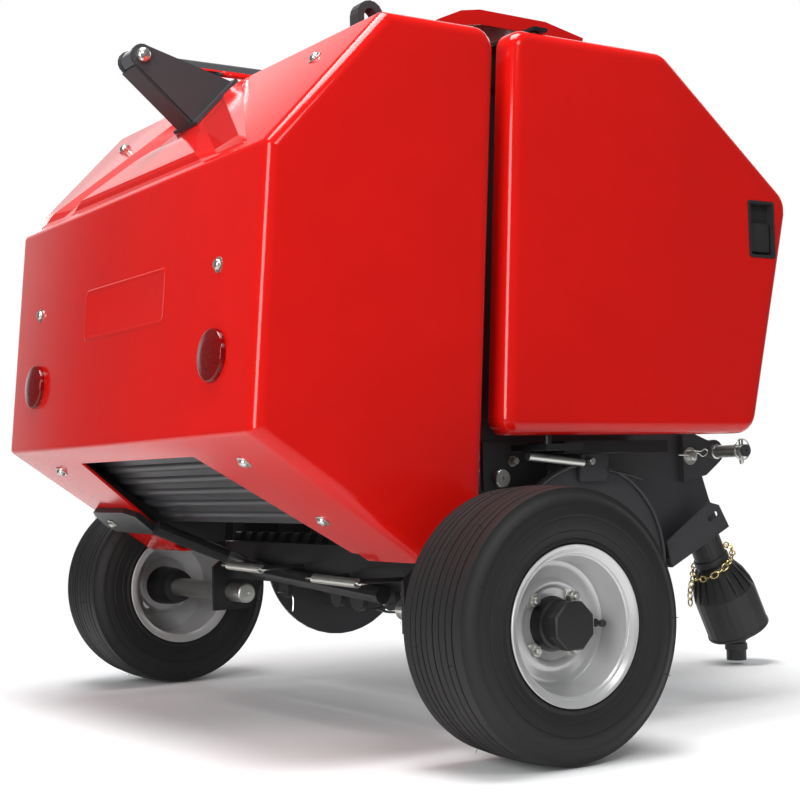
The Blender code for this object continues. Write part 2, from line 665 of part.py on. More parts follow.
bent_tube("kicker_bar", tube_path, TUBE_RADIUS, "frame", "black_paint")

# ------------------------------------------------------------------------ wheels
half_tyre = TYRE_WIDTH / 2
tyre_profile = (
    (-0.070, RIM_RADIUS), (-0.074, RIM_FLANGE_RADIUS + 0.001), (-0.080, 0.130), (-half_tyre, 0.150),
    (-0.081, 0.172), (-0.070, 0.190), (-0.050, 0.197), (0.0, TYRE_RADIUS), (0.050, 0.197),
    (0.070, 0.190), (0.081, 0.172), (half_tyre, 0.150), (0.080, 0.130),
    (0.074, RIM_FLANGE_RADIUS + 0.001), (0.070, RIM_RADIUS))
flange_in, flange_out = 0.0703, 0.078
rim_profile = (
    (-flange_out, RIM_FLANGE_RADIUS), (-flange_out + 0.003, RIM_FLANGE_RADIUS),
    (-flange_in - 0.002, RIM_RADIUS - GAP), (0.0703, RIM_RADIUS - GAP),
    (flange_out - 0.003, RIM_FLANGE_RADIUS), (flange_out, RIM_FLANGE_RADIUS),
    (flange_in + 0.004, RIM_RADIUS - RIM_WALL), (RIM_DISC_X + 0.006, RIM_RADIUS - RIM_WALL - 0.002),
    (RIM_DISC_X, 0.060), (RIM_DISC_X + 0.004, HUB_RADIUS), (0.062, HUB_RADIUS), (0.070, 0.026),
    (0.070, 0.0), (0.0605, 0.0), (0.0605, STUB_RADIUS + GAP), (-0.060, STUB_RADIUS + GAP),
    (-0.060, HUB_RADIUS), (RIM_DISC_X - 0.006, HUB_RADIUS), (RIM_DISC_X - 0.006, 0.060),
    (RIM_DISC_X, RIM_RADIUS - RIM_WALL - 0.002), (-flange_in - 0.004, RIM_RADIUS - RIM_WALL))
for label, side in SIDES:
    body = "wheel_" + label
    place = (side * WHEEL_X, 0.0, AXLE_Z)
    turned("tyre_" + label, tyre_profile, body, "rubber", place, sides=ROUND_WHEEL)
    turned("rim_" + label, [(side * along, radius) for along, radius in rim_profile],
           body, "rim_silver", place, sides=ROUND_WHEEL)

# ------------------------------------------------------------------------ pickup
disc_near = PICKUP_HALF + 0.005
for label, side in SIDES:
    disc = rod("pickup_side_" + label, *span(side, disc_near, disc_near + PICKUP_DISC),
               PICKUP_Y, PICKUP_Z, PICKUP_DISC_RADIUS, "frame", "dark_paint", sides=40)
    cut(disc, rod("pickup_hole_" + label, *span(side, disc_near - 0.01, disc_near + 0.02),
                  PICKUP_Y, PICKUP_Z, REEL_SHAFT_RADIUS + GAP, "frame", "dark_paint"))

CARRIER_TOP = PLATE_FOOT - GAP
carrier = block("pickup_strippers", (-disc_near + GAP, PICKUP_Y - 0.045, CARRIER_TOP - 0.016),
                (disc_near - GAP, PICKUP_Y + 0.045, CARRIER_TOP), "frame", "dark_paint")
band = (arc((PICKUP_Y, PICKUP_Z), STRIPPER_RADIUS + STRIPPER_THICK, 100, -115, 16)
        + arc((PICKUP_Y, PICKUP_Z), STRIPPER_RADIUS, -115, 100, 16))
post = ((PICKUP_Y - 0.010, PICKUP_Z + STRIPPER_RADIUS + 0.001),
            (PICKUP_Y + 0.010, PICKUP_Z + STRIPPER_RADIUS + 0.001),
        (PICKUP_Y + 0.010, CARRIER_TOP - 0.008), (PICKUP_Y - 0.010, CARRIER_TOP - 0.008))
spacing = (PICKUP_WIDTH - 0.06) / (STRIPPER_COUNT - 1)
for number in range(STRIPPER_COUNT):
    middle = (number - (STRIPPER_COUNT - 1) / 2) * spacing
    add(carrier,
        plate("stripper_%d" % number, band, middle - STRIPPER_WIDTH / 2, middle + STRIPPER_WIDTH / 2,
              "frame", "dark_paint"),
        plate("stripper_post_%d" % number, post, middle - STRIPPER_WIDTH / 2 + 0.002,
              middle + STRIPPER_WIDTH / 2 - 0.002, "frame", "dark_paint"))

reel_end = disc_near + PICKUP_DISC + 0.008
reel = turned("pickup_reel", (
    (-reel_end, 0.0), (-reel_end, REEL_SHAFT_RADIUS), (-PICKUP_HALF + 0.01, REEL_SHAFT_RADIUS),
    (-PICKUP_HALF + 0.01, REEL_TUBE_RADIUS), (PICKUP_HALF - 0.01, REEL_TUBE_RADIUS),
    (PICKUP_HALF - 0.01, REEL_SHAFT_RADIUS), (reel_end, REEL_SHAFT_RADIUS), (reel_end, 0.0)),
    "pickup_reel", "dark_paint", (0.0, PICKUP_Y, PICKUP_Z))
for number, middle in enumerate((-0.372, 0.0, 0.372)):
    add(reel, rod("reel_spider_%d" % number, middle - 0.003, middle + 0.003, PICKUP_Y, PICKUP_Z,
                  REEL_BAR_CIRCLE + REEL_BAR_RADIUS + 0.004, "pickup_reel", "dark_paint"))
for number in range(4):
    angle = math.radians(45 + 90 * number)
    add(reel, rod("reel_bar_%d" % number, -0.380, 0.380,
                  PICKUP_Y + REEL_BAR_CIRCLE * math.cos(angle),
                  PICKUP_Z + REEL_BAR_CIRCLE * math.sin(angle), REEL_BAR_RADIUS,
                  "pickup_reel", "dark_paint", sides=10))

# ------------------------------------------------- sills and drive case at the sides
upright = Matrix.Rotation(math.radians(-90), 4, 'Y')        # +X of a turned piece to +Z


def door_pin(name, side, low, high, radius, body):
    """An upright pin, or a cutter for its hole, on the axis of a front side cover."""
    profile = ((low, 0.0), (low, radius), (high, radius), (high, 0.0))
    return turned(name, profile, body, "zinc", (side * DOOR_HINGE_X, DOOR_HINGE_Y, 0.0),
                  turn=upright, sides=16)


door_top, door_foot = DOOR_PROFILE[0][1], DOOR_PROFILE[-1][1]
arm_rear, arm_front = DOOR_HINGE_Y - 0.015, DOOR_HINGE_Y + 0.015
for label, side in SIDES:
    cut(bpy.data.objects["side_cover_" + label],
        door_pin("hinge_bore_" + label, side, door_foot - 0.02, door_top + 0.02,
                 DOOR_PIN_RADIUS + GAP, "cover_" + label))
    sill_x, arm_x = span(side, PLATE_OUTER + GAP, 0.455), span(side, 0.400, DOOR_HINGE_X + 0.014)
    sill = block("side_sill_" + label, (sill_x[0], 0.205, door_foot - 0.029),
                 (sill_x[1], 0.430, door_foot - CLEAR - 0.001), "frame", "black_paint")
    add(sill,
        block("lower_arm_" + label, (arm_x[0], arm_rear, door_foot - 0.024),
              (arm_x[1], 0.215, door_foot - 0.014), "frame", "black_paint"),
        door_pin("lower_pin_" + label, side, door_foot - 0.019, door_foot + 0.020,
                 DOOR_PIN_RADIUS, "frame"))
    post_x, strap_x = span(side, PLATE_OUTER + GAP, PLATE_OUTER + 0.008), span(side, PLATE_OUTER + 0.002,
                                                                            DOOR_HINGE_X + 0.014)
    strap = block("door_strap_" + label, (post_x[0], arm_rear + 0.008, 1.060),
                  (post_x[1], arm_front, door_top + 0.009), "frame", "black_paint")
    add(strap,
        block("upper_arm_" + label, (strap_x[0], arm_rear, door_top + 0.004),
              (strap_x[1], arm_front - 0.001, door_top + 0.010), "frame", "black_paint"),
        door_pin("upper_pin_" + label, side, door_top - 0.020, door_top + 0.014,
                 DOOR_PIN_RADIUS, "frame"))
case_corners = ((0.200, 0.560), (0.200, 0.900), (0.470, 0.900), (0.520, 0.560))
case_outline = rounded(rounded(case_corners, 2, 0.05), 1, 0.05)
plate("drive_case", case_outline, -0.400, -PLATE_OUTER - GAP, "frame", "black_paint")

# -------------------------------------------------------------------- lower hitch
hitch_outline = ([(0.545, 0.395), (0.600, 0.405)] + arc((HITCH_Y, HITCH_Z), 0.022, -60, 120, 8)
                 + [(0.545, 0.490)])
for label, side in SIDES:
    ear = plate("lower_hitch_" + label, hitch_outline,
                *span(side, PLATE_OUTER + GAP, PLATE_OUTER + GAP + 0.012), "frame", "dark_paint")
    add(ear, rod("hitch_pin_" + label, *span(side, PLATE_INNER - HITCH_PIN_IN, HITCH_PIN_OUT), HITCH_Y, HITCH_Z,
                 HITCH_PIN_RADIUS, "frame", "zinc"))

# --------------------------------------------------------- ram and its tail bracket
eye_low, eye_high = -RAM_EYE_HALF, RAM_EYE_HALF
along_y = Matrix.Rotation(math.radians(-90), 4, 'Z')        # +X of a turned piece to -Y
barrel_length = RAM_BASE_Y - RAM_GLAND_Y
barrel_start = 0.025 + CLEAR        # clear of the base clevis
rod_inside = 0.160                  # closed, the rod reaches this far into the barrel
bore_foot = barrel_length - rod_inside - RAM_STROKE - CLEAR
barrel = turned("ram_barrel", (
    (0.010, 0.0), (0.010, RAM_EYE_RADIUS - 0.002), (barrel_start, RAM_EYE_RADIUS - 0.002),
    (barrel_start, RAM_BARREL_RADIUS), (barrel_length, RAM_BARREL_RADIUS),
    (barrel_length, RAM_ROD_RADIUS + 0.0005), (bore_foot, RAM_ROD_RADIUS + 0.0005), (bore_foot, 0.0)),
    "ram_barrel", "black_paint", (0.0, RAM_BASE_Y, RAM_Z), turn=along_y)
add(barrel, rod("barrel_eye", eye_low, eye_high, RAM_BASE_Y, RAM_Z, RAM_EYE_RADIUS,
                "ram_barrel", "black_paint"))

rod_length = RAM_GLAND_Y + rod_inside - RAM_PIN_Y
ram_rod = turned("ram_rod", (
    (-rod_length, 0.0), (-rod_length, RAM_ROD_RADIUS), (-0.010, RAM_ROD_RADIUS), (-0.010, 0.0)),
    "ram_rod", "chrome", (0.0, RAM_PIN_Y, RAM_Z), turn=along_y)
add(ram_rod, rod("rod_eye", eye_low, eye_high, RAM_PIN_Y, RAM_Z, RAM_EYE_RADIUS, "ram_rod", "chrome"))

FOOT_START, FOOT_END = 0.012, 0.128     # the bracket's foot, down the upper slope
base_near, base_far = (on_upper_slope(place, HUMP_RISE + GAP) for place in (FOOT_START, FOOT_END - 0.005))
cheek_shape = (
    [tuple(base_far), tuple(base_near)]
    + arc((RAM_PIN_Y, RAM_Z), 0.020, 60, 235, 8))
bracket_low = RAM_EYE_HALF + GAP + 0.001
tail_bracket = plate("ram_bracket", cheek_shape, *span(1.0, bracket_low, bracket_low + CHEEK),
                     "tailgate", "dark_paint")
web_up = (Vector(cheek_shape[-1]) - base_far).normalized()
web_in = Vector((web_up.y, -web_up.x)) * 0.001      # keeps its face off the cheeks' edges
web = folded((tuple(base_far + web_up * 0.002 + web_in),
              tuple(Vector(cheek_shape[-1]) - web_up * 0.001 + web_in)), 0.006)
foot = [tuple(on_upper_slope(place, HUMP_RISE + rise))
        for place, rise in ((FOOT_START, GAP), (FOOT_END, GAP), (FOOT_END, 0.007), (FOOT_START, 0.007))]
add(tail_bracket,
    plate("bracket_cheek", cheek_shape, *span(-1.0, bracket_low, bracket_low + CHEEK),
          "tailgate", "dark_paint"),
    plate("bracket_foot", foot, -0.045, 0.045, "tailgate", "dark_paint"),
    plate("bracket_web", web, -bracket_low - CHEEK / 2, bracket_low + CHEEK / 2, "tailgate", "dark_paint"))
for label, side in SIDES:
    add(tail_bracket, rod("bracket_pin_" + label,
                          *span(side, bracket_low + CHEEK / 2, bracket_low + CHEEK + 0.008),
                          RAM_PIN_Y, RAM_Z, 0.011, "tailgate", "zinc"))

# --------------------------------------------------------------------- driveline
# the turned piece's +X must run forwards and down from the universal joint
direction = Vector((0.0, math.sin(lean), -math.cos(lean)))
down = direction.to_track_quat('X', 'Z').to_matrix().to_4x4()
shaft_end = BELL_END - 0.009
driveline = turned("driveline", (
    (0.000, 0.0), (0.000, 0.022), (0.050, 0.022), (0.060, DRIVELINE_TUBE - 0.004), (0.100, DRIVELINE_TUBE),
    (BELL_START - 0.062, DRIVELINE_TUBE), (BELL_START - 0.056, DRIVELINE_TUBE + 0.007),
    (BELL_START - 0.004, BELL_RADIUS - 0.004), (BELL_START + 0.006, BELL_RADIUS), (BELL_END, BELL_RADIUS),
    (BELL_END, BELL_RADIUS - BELL_WALL), (BELL_START + 0.014, BELL_RADIUS - BELL_WALL - 0.001),
    (BELL_START + 0.004, 0.018), (shaft_end, 0.018), (shaft_end, 0.0)),
    "driveline", "black_plastic", (0.0, JOINT_Y, JOINT_Z), turn=down)
# The yoke hangs straight down from the shaft's end.
shaft_tip = Vector((0.0, JOINT_Y, JOINT_Z)) + direction * (shaft_end - 0.012)
yoke_turn = Matrix.Rotation(math.radians(90), 4, 'Y')
add(driveline, turned("yoke", ((0.0, 0.0), (0.0, YOKE_RADIUS), (shaft_tip.z - YOKE_FOOT, YOKE_RADIUS),
                               (shaft_tip.z - YOKE_FOOT, 0.0)),
                      "driveline", "black_plastic", shaft_tip, turn=yoke_turn, sides=16))

# ------------------------------------------------------------------ parking stand
half_leg = STAND_TUBE / 2
foot_y = STAND_Y - STAND_SET_BACK
leg_outline = [(foot_y - half_leg, 0.010), (foot_y + half_leg, 0.010)] + arc(
    (STAND_Y, STAND_Z), half_leg, 0, 180, 6)
leg = plate("parking_stand", leg_outline, STAND_X - half_leg, STAND_X + half_leg,
            "parking_stand", "black_paint")
add(leg, rod("stand_pin", STAND_X - 0.038, STAND_X + 0.038, STAND_Y, STAND_Z, STAND_PIN_RADIUS,
             "parking_stand", "black_paint"),
    block("stand_foot", (STAND_X - 0.050, foot_y - 0.045, 0.0), (STAND_X + 0.050, foot_y + 0.045, 0.012),
               "parking_stand", "black_paint"))
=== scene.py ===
"""Mini round baler on a pale studio floor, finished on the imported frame."""
import json
import math

import bmesh
import bpy
import numpy as np
from mathutils import Matrix, Vector


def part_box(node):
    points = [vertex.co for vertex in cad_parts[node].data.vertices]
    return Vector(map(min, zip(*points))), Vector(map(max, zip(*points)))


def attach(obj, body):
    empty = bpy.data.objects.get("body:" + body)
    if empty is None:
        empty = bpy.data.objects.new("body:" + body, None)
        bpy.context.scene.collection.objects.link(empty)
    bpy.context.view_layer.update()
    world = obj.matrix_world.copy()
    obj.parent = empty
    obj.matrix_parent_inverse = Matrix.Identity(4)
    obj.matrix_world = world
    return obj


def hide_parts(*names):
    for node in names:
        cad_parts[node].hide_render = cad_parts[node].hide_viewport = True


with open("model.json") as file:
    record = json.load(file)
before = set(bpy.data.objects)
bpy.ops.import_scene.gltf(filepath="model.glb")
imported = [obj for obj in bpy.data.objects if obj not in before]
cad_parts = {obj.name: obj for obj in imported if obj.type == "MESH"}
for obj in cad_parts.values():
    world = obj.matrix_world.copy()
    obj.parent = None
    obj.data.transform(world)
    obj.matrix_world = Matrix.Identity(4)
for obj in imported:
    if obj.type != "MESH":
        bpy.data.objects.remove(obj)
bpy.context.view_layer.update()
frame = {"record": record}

# ------------------------------------------------------------------ camera and studio
# The camera stands behind the machine on its right, low, and looks slightly up.  Places
# in this file are measured from the wheels' axis on the ground, which "at" turns into
# the frame's own coordinates.
tyre_low, tyre_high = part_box("tyre_right")
axle_y = (tyre_low[1] + tyre_high[1]) / 2


def at(x, y, z):
    """A point given from the wheels' axis on the ground, in the frame's coordinates."""
    return Vector((x, y + axle_y, z))


camera_yaw, camera_pitch, camera_roll = (math.radians(a) for a in (56.923, 2.896, -1.502))
forward = Vector((-math.sin(camera_yaw) * math.cos(camera_pitch),
                  math.cos(camera_yaw) * math.cos(camera_pitch), math.sin(camera_pitch)))
right = Vector((math.cos(camera_yaw), math.sin(camera_yaw), 0.0))
up = right.cross(forward)
tilted_right = right * math.cos(camera_roll) + up * math.sin(camera_roll)
tilted_up = up * math.cos(camera_roll) - right * math.sin(camera_roll)
camera = bpy.data.objects.new("camera", bpy.data.cameras.new("camera"))
camera.data.sensor_width = 36.0
camera.data.lens = 70.77
camera.data.clip_start = 0.01
turn = Matrix((tilted_right, tilted_up, -forward)).transposed().to_4x4()
camera.matrix_world = Matrix.Translation(at(2.4558, -1.4151, 0.4113)) @ turn
bpy.context.scene.collection.objects.link(camera)
bpy.context.scene.camera = camera
bpy.context.scene.view_settings.view_transform = 'Standard'


def softbox(name, place, aim, size, power):
    """A square area lamp at a place, turned towards a point."""
    lamp = bpy.data.lights.new(name, 'AREA')
    lamp.shape = 'RECTANGLE'
    lamp.size, lamp.size_y = size
    lamp.energy = power
    holder = bpy.data.objects.new(name, lamp)
    holder.matrix_world = (Matrix.Translation(place)
                           @ (aim - place).to_track_quat('-Z', 'Y').to_matrix().to_4x4())
    bpy.context.scene.collection.objects.link(holder)


middle = at(0.0, 0.1, 0.6)
softbox("top_light", at(0.3, -0.4, 3.6), middle, (1.8, 1.8), 150.0)
softbox("corner_light", at(1.95, -2.95, 1.2), at(0.45, -0.45, 0.7), (1.15, 2.2), 82.0)
softbox("left_light", at(-3.2, 0.9, 1.5), middle, (1.4, 0.5), 8.0)
softbox("right_light", at(3.3, -0.7, 2.9), middle, (1.5, 0.9), 36.0)
softbox("front_light", at(-0.8, 3.6, 2.2), middle, (2.4, 2.0), 26.0)

world = bpy.data.worlds.new("studio")
world.use_nodes = True
bpy.context.scene.world = world
tree = world.node_tree
tree.nodes.clear()
rays = tree.nodes.new("ShaderNodeLightPath")
# The white sweep hangs behind the machine; gloss shows it there and a dimmer room elsewhere.
looking = tree.nodes.new("ShaderNodeTexCoord")
towards_sweep = tree.nodes.new("ShaderNodeVectorMath")
towards_sweep.operation = 'DOT_PRODUCT'
towards_sweep.inputs[1].default_value = (-0.84, 0.54, 0.05)
tree.links.new(looking.outputs["Generated"], towards_sweep.inputs[0])
sweep_edge = tree.nodes.new("ShaderNodeMapRange")
sweep_edge.interpolation_type = 'SMOOTHSTEP'
sweep_edge.inputs["From Min"].default_value = 0.62
sweep_edge.inputs["From Max"].default_value = 0.86
tree.links.new(towards_sweep.outputs["Value"], sweep_edge.inputs["Value"])
gloss_on_sweep = tree.nodes.new("ShaderNodeMath")
gloss_on_sweep.operation = 'MULTIPLY'
tree.links.new(rays.outputs["Is Glossy Ray"], gloss_on_sweep.inputs[0])
tree.links.new(sweep_edge.outputs[0], gloss_on_sweep.inputs[1])
straight = tree.nodes.new("ShaderNodeMath")
straight.operation = 'MAXIMUM'
tree.links.new(rays.outputs["Is Camera Ray"], straight.inputs[0])
tree.links.new(rays.outputs["Is Transmission Ray"], straight.inputs[1])
seen = tree.nodes.new("ShaderNodeMath")
seen.operation = 'MAXIMUM'
tree.links.new(straight.outputs[0], seen.inputs[0])
tree.links.new(gloss_on_sweep.outputs[0], seen.inputs[1])
ambient = tree.nodes.new("ShaderNodeBackground")
ambient.inputs["Color"].default_value = (0.95, 0.97, 1.0, 1.0)
room = tree.nodes.new("ShaderNodeMapRange")
room.inputs["To Min"].default_value = 0.42
room.inputs["To Max"].default_value = 0.14
tree.links.new(rays.outputs["Is Glossy Ray"], room.inputs["Value"])
tree.links.new(room.outputs[0], ambient.inputs["Strength"])
backdrop = tree.nodes.new("ShaderNodeBackground")
backdrop.inputs["Color"].default_value = (1.0, 1.0, 1.0, 1.0)
either = tree.nodes.new("ShaderNodeMixShader")
tree.links.new(seen.outputs[0], either.inputs[0])
tree.links.new(ambient.outputs[0], either.inputs[1])
tree.links.new(backdrop.outputs[0], either.inputs[2])
tree.links.new(either.outputs[0], tree.nodes.new("ShaderNodeOutputWorld").inputs[0])

# The floor fades out with distance, so no horizon shows behind the machine.
floor_mesh = bpy.data.meshes.new("floor")
reach = 7.0
floor_mesh.from_pydata([(-reach, -reach, 0), (reach, -reach, 0), (reach, reach, 0), (-reach, reach, 0)],
                       [], [(0, 1, 2, 3)])
floor = bpy.data.objects.new("floor", floor_mesh)
bpy.context.scene.collection.objects.link(floor)
floor.location.z = -0.0005
floor_paint = bpy.data.materials.new("floor_paint")
floor_paint.use_nodes = True
tree = floor_paint.node_tree
tree.nodes.clear()
where = tree.nodes.new("ShaderNodeTexCoord")
distance = tree.nodes.new("ShaderNodeVectorMath")
distance.operation = 'LENGTH'
tree.links.new(where.outputs["Object"], distance.inputs[0])
fade = tree.nodes.new("ShaderNodeMapRange")
fade.interpolation_type = 'SMOOTHSTEP'
fade.inputs["From Min"].default_value = 0.9
fade.inputs["From Max"].default_value = 2.6
tree.links.new(distance.outputs["Value"], fade.inputs["Value"])
pale = tree.nodes.new("ShaderNodeBsdfDiffuse")
pale.inputs["Color"].default_value = (0.86, 0.86, 0.86, 1.0)
clear = tree.nodes.new("ShaderNodeBsdfTransparent")
either = tree.nodes.new("ShaderNodeMixShader")
tree.links.new(fade.outputs[0], either.inputs[0])
tree.links.new(pale.outputs[0], either.inputs[1])
tree.links.new(clear.outputs[0], either.inputs[2])
tree.links.new(either.outputs[0], tree.nodes.new("ShaderNodeOutputMaterial").inputs[0])
floor_mesh.materials.append(floor_paint)


# ------------------------------------------------------------------ finishes of the frame
# Powder paint, moulded covers, plated and cast steel, rubber.  Each has a fine surface
# and slow changes of gloss, so no panel reads as one flat colour.
def finish(name, colour, roughness, metallic=0.0, grain=900.0, relief=0.02, cloud=0.06, specular=0.5):
    """A finish whose gloss drifts by cloud and whose surface has a fine grain of relief."""
    material = bpy.data.materials.new(name)
    material.use_nodes = True
    nodes, links = material.node_tree.nodes, material.node_tree.links
    shader = nodes["Principled BSDF"]
    shader.inputs["Metallic"].default_value = metallic
    shader.inputs["Specular IOR Level"].default_value = specular
    place = nodes.new("ShaderNodeTexCoord")
    slow = nodes.new("ShaderNodeTexNoise")
    slow.inputs["Scale"].default_value = 9.0
    slow.inputs["Detail"].default_value = 5.0
    links.new(place.outputs["Object"], slow.inputs["Vector"])
    shade = nodes.new("ShaderNodeMapRange")
    shade.inputs["To Min"].default_value = roughness - cloud
    shade.inputs["To Max"].default_value = roughness + cloud
    links.new(slow.outputs["Fac"], shade.inputs["Value"])
    links.new(shade.outputs[0], shader.inputs["Roughness"])
    tint = nodes.new("ShaderNodeMix")
    tint.data_type = 'RGBA'
    tint.inputs["A"].default_value = (*colour, 1.0)
    tint.inputs["B"].default_value = (*(c * 0.86 for c in colour), 1.0)
    links.new(slow.outputs["Fac"], tint.inputs["Factor"])
    links.new(tint.outputs["Result"], shader.inputs["Base Color"])
    fine = nodes.new("ShaderNodeTexNoise")
    fine.inputs["Scale"].default_value = grain
    links.new(place.outputs["Object"], fine.inputs["Vector"])
    bump = nodes.new("ShaderNodeBump")
    bump.inputs["Strength"].default_value = relief
    bump.inputs["Distance"].default_value = 0.001
    links.new(fine.outputs["Fac"], bump.inputs["Height"])
    links.new(bump.outputs[0], shader.inputs["Normal"])
    return material


finishes = {
    "red_paint": finish("red_paint", (0.57, 0.006, 0.004), 0.15, relief=0.012, cloud=0.02, specular=0.32),
    "red_cover": finish("red_cover", (0.57, 0.006, 0.004), 0.13, grain=1500.0, relief=0.012, cloud=0.02, specular=0.32),
    "dark_paint": finish("dark_paint", (0.040, 0.040, 0.043), 0.42, relief=0.06, specular=0.4),
    "black_paint": finish("black_paint", (0.010, 0.010, 0.011), 0.40, relief=0.06, specular=0.4),
    "rim_silver": finish("rim_silver", (0.52, 0.52, 0.52), 0.30, metallic=0.45),
    "zinc": finish("zinc", (0.62, 0.62, 0.58), 0.30, metallic=0.95, cloud=0.10),
    "chrome": finish("chrome", (0.80, 0.80, 0.82), 0.10, metallic=1.0, cloud=0.03, relief=0.005),
    "tyre": finish("tyre", (0.0120, 0.0120, 0.0120), 0.60, grain=500.0, relief=0.12, specular=0.28),
    "cast_iron": finish("cast_iron", (0.060, 0.060, 0.062), 0.58, metallic=0.2, grain=350.0, relief=0.35),
    "black_plastic": finish("black_plastic", (0.020, 0.020, 0.020), 0.46, grain=700.0, relief=0.10),
}
slot_of = {entry["node"]: entry["material_slot"] for entry in frame["record"]["subparts"]}
for node, slot in slot_of.items():
    cad = bpy.data.objects[node]
    if not cad.material_slots:
        cad.data.materials.append(None)
    for place in cad.material_slots:
        place.material = finishes[slot]

# ------------------------------------------------------------------ tailgate's moulded skin
# One thick red moulding wraps the tailgate from side to side: it is rounded where the
# flanks meet the back, open at the front between the flanks, and has a mouth in its
# lower slope for loose crop.
skin_half = 0.506
skin_wall = 0.005
flank_depth = 0.045
tailgate_outline = ((0.056, 1.117, 0.034), (-0.152, 1.117, 0.014), (-0.358, 0.900, 0.014),
                    (-0.393, 0.483, 0.012), (-0.106, 0.284, 0.014), (-0.003, 0.284, 0.012))


def soft_outline(corners, steps=6):
    """Corners of (y, z, radius) as points: at each corner an arc that touches both sides."""
    points = []
    for index, (y, z, radius) in enumerate(corners):
        here = np.array((y, z))
        before = np.array(corners[index - 1][:2]) - here
        after = np.array(corners[(index + 1) % len(corners)][:2]) - here
        before, after = before / np.linalg.norm(before), after / np.linalg.norm(after)
        half = math.acos(float(np.clip(before @ after, -1, 1))) / 2
        centre = here + (before + after) / np.linalg.norm(before + after) * radius / math.sin(half)
        first, last = (here + side * radius / math.tan(half) - centre for side in (before, after))
        share = np.linspace(0, 1, steps)[:, None]
        chord = first * (1 - share) + last * share
        points.append(centre + chord / np.linalg.norm(chord, axis=1)[:, None] * radius)
    return np.concatenate(points)


def moved_in(corners, depth):
    """The corners go inwards so that each side moves by depth, and their radii shrink by it."""
    here = np.array([corner[:2] for corner in corners])
    ahead = np.roll(here, -1, axis=0) - here
    ahead /= np.linalg.norm(ahead, axis=1)[:, None]
    normal = np.stack((-ahead[:, 1], ahead[:, 0]), axis=1)
    behind = np.roll(normal, 1, axis=0)
    mean = (normal + behind) / (1 + np.sum(normal * behind, axis=1))[:, None]
    area = np.sum(here[:, 0] * np.roll(here[:, 1], -1) - here[:, 1] * np.roll(here[:, 0], -1))
    moved = here + mean * depth * math.copysign(1.0, area)
    return [(y, z, max(corner[2] - depth, 0.0015)) for (y, z), corner in zip(moved, corners)]


def mesh_object(name, points, faces, smooth=True):
    """An object with the given points and faces, its normals outwards."""
    mesh = bpy.data.meshes.new(name)
    mesh.from_pydata([tuple(map(float, p)) for p in points], [], [tuple(map(int, f)) for f in faces])
    sorted_out = bmesh.new()
    sorted_out.from_mesh(mesh)
    bmesh.ops.recalc_face_normals(sorted_out, faces=sorted_out.faces)
    sorted_out.to_mesh(mesh)
    sorted_out.free()
    if smooth:
        mesh.shade_smooth()
        mesh.set_sharp_from_angle(angle=math.radians(40))
    piece = bpy.data.objects.new(name, mesh)
    bpy.context.scene.collection.objects.link(piece)
    return piece


def stacked(name, rings, smooth=True):
    """A closed shape from rings of equal length: neighbours are joined, the ends are capped."""
    count, size = len(rings), len(rings[0])
    index = np.arange(count * size).reshape(count, size)
    low, high = index[:-1].ravel(), index[1:].ravel()
    quads = np.stack((low, np.roll(index[:-1], -1, axis=1).ravel(),
                      np.roll(index[1:], -1, axis=1).ravel(), high), axis=1)
    faces = [tuple(q) for q in quads] + [tuple(index[0]), tuple(index[-1])]
    return mesh_object(name, np.concatenate(rings), faces, smooth)


def ring_at(outline, x):
    """An outline of (y, z) stood up at x, in the frame's coordinates."""
    return np.stack((np.full(len(outline), x), outline[:, 0] + axle_y, outline[:, 1]), axis=1)


def rounded_slab(name, corners, low, high, round_low=0.0, round_high=0.0, steps=6):
    """Corners of (y, z, radius) from x low to high, its rims quarter circles of the given radii."""
    quarter = np.linspace(0, math.pi / 2, steps)
    rings = [(low, 0.0)]
    if round_low:
        rings = [(low + round_low * (1 - math.cos(a)), round_low * (1 - math.sin(a))) for a in quarter]
    if round_high:
        rings += [(high - round_high * (1 - math.sin(a)), round_high * (1 - math.cos(a))) for a in quarter]
    else:
        rings.append((high, 0.0))
    return stacked(name, [ring_at(soft_outline(moved_in(corners, depth)), x) for x, depth in rings])


def carve(piece, *cutters):
    """Cuts the shapes out of a piece, or joins those marked to be joined, and drops them."""
    for cutter, operation in cutters:
        step = piece.modifiers.new(operation.lower(), 'BOOLEAN')
        step.operation = operation
        step.object = cutter
    graph = bpy.context.evaluated_depsgraph_get()
    result = bpy.data.meshes.new_from_object(piece.evaluated_get(graph))
    piece.modifiers.clear()
    piece.data = result
    result.set_sharp_from_angle(angle=math.radians(40))
    for cutter, _ in cutters:
        bpy.data.objects.remove(cutter, do_unlink=True)
    return piece


def dress(piece, body, slot, *nodes, material=None):
    """Gives a new piece its finish, chosen by slot or given, and its body, and hides the CAD nodes it stands for."""
    piece.data.materials.clear()
    piece.data.materials.append(material or finishes[slot])
    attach(piece, body)
    if nodes:
        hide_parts(*nodes)
    return piece


skin = rounded_slab("tailgate_skin", tailgate_outline, -skin_half, skin_half, 0.021, 0.021)
hollow = rounded_slab("hollow", moved_in(tailgate_outline, skin_wall), skin_wall - skin_half,
                      skin_half - skin_wall, 0.017, 0.017)
front_gap = stacked("front_gap", [ring_at(np.array(((0.10, 1.105), (0.10, 0.20), (-0.030, 0.20),
                                                    (-0.016, 0.30), (0.020, 1.105))), x)
                                  for x in (flank_depth - skin_half, skin_half - flank_depth)])
front_top = stacked("front_top", [ring_at(np.array(((0.10, 1.15), (0.10, 1.09), (0.020, 1.09), (0.020, 1.15))), x)
                                  for x in (flank_depth - skin_half, skin_half - flank_depth)])
slope = np.array(((-0.393, 0.483), (-0.106, 0.284)))
slope_run = (slope[1] - slope[0]) / np.linalg.norm(slope[1] - slope[0])
slope_out = np.array((slope_run[1], -slope_run[0]))
slope_out *= -np.sign(slope_out[1])
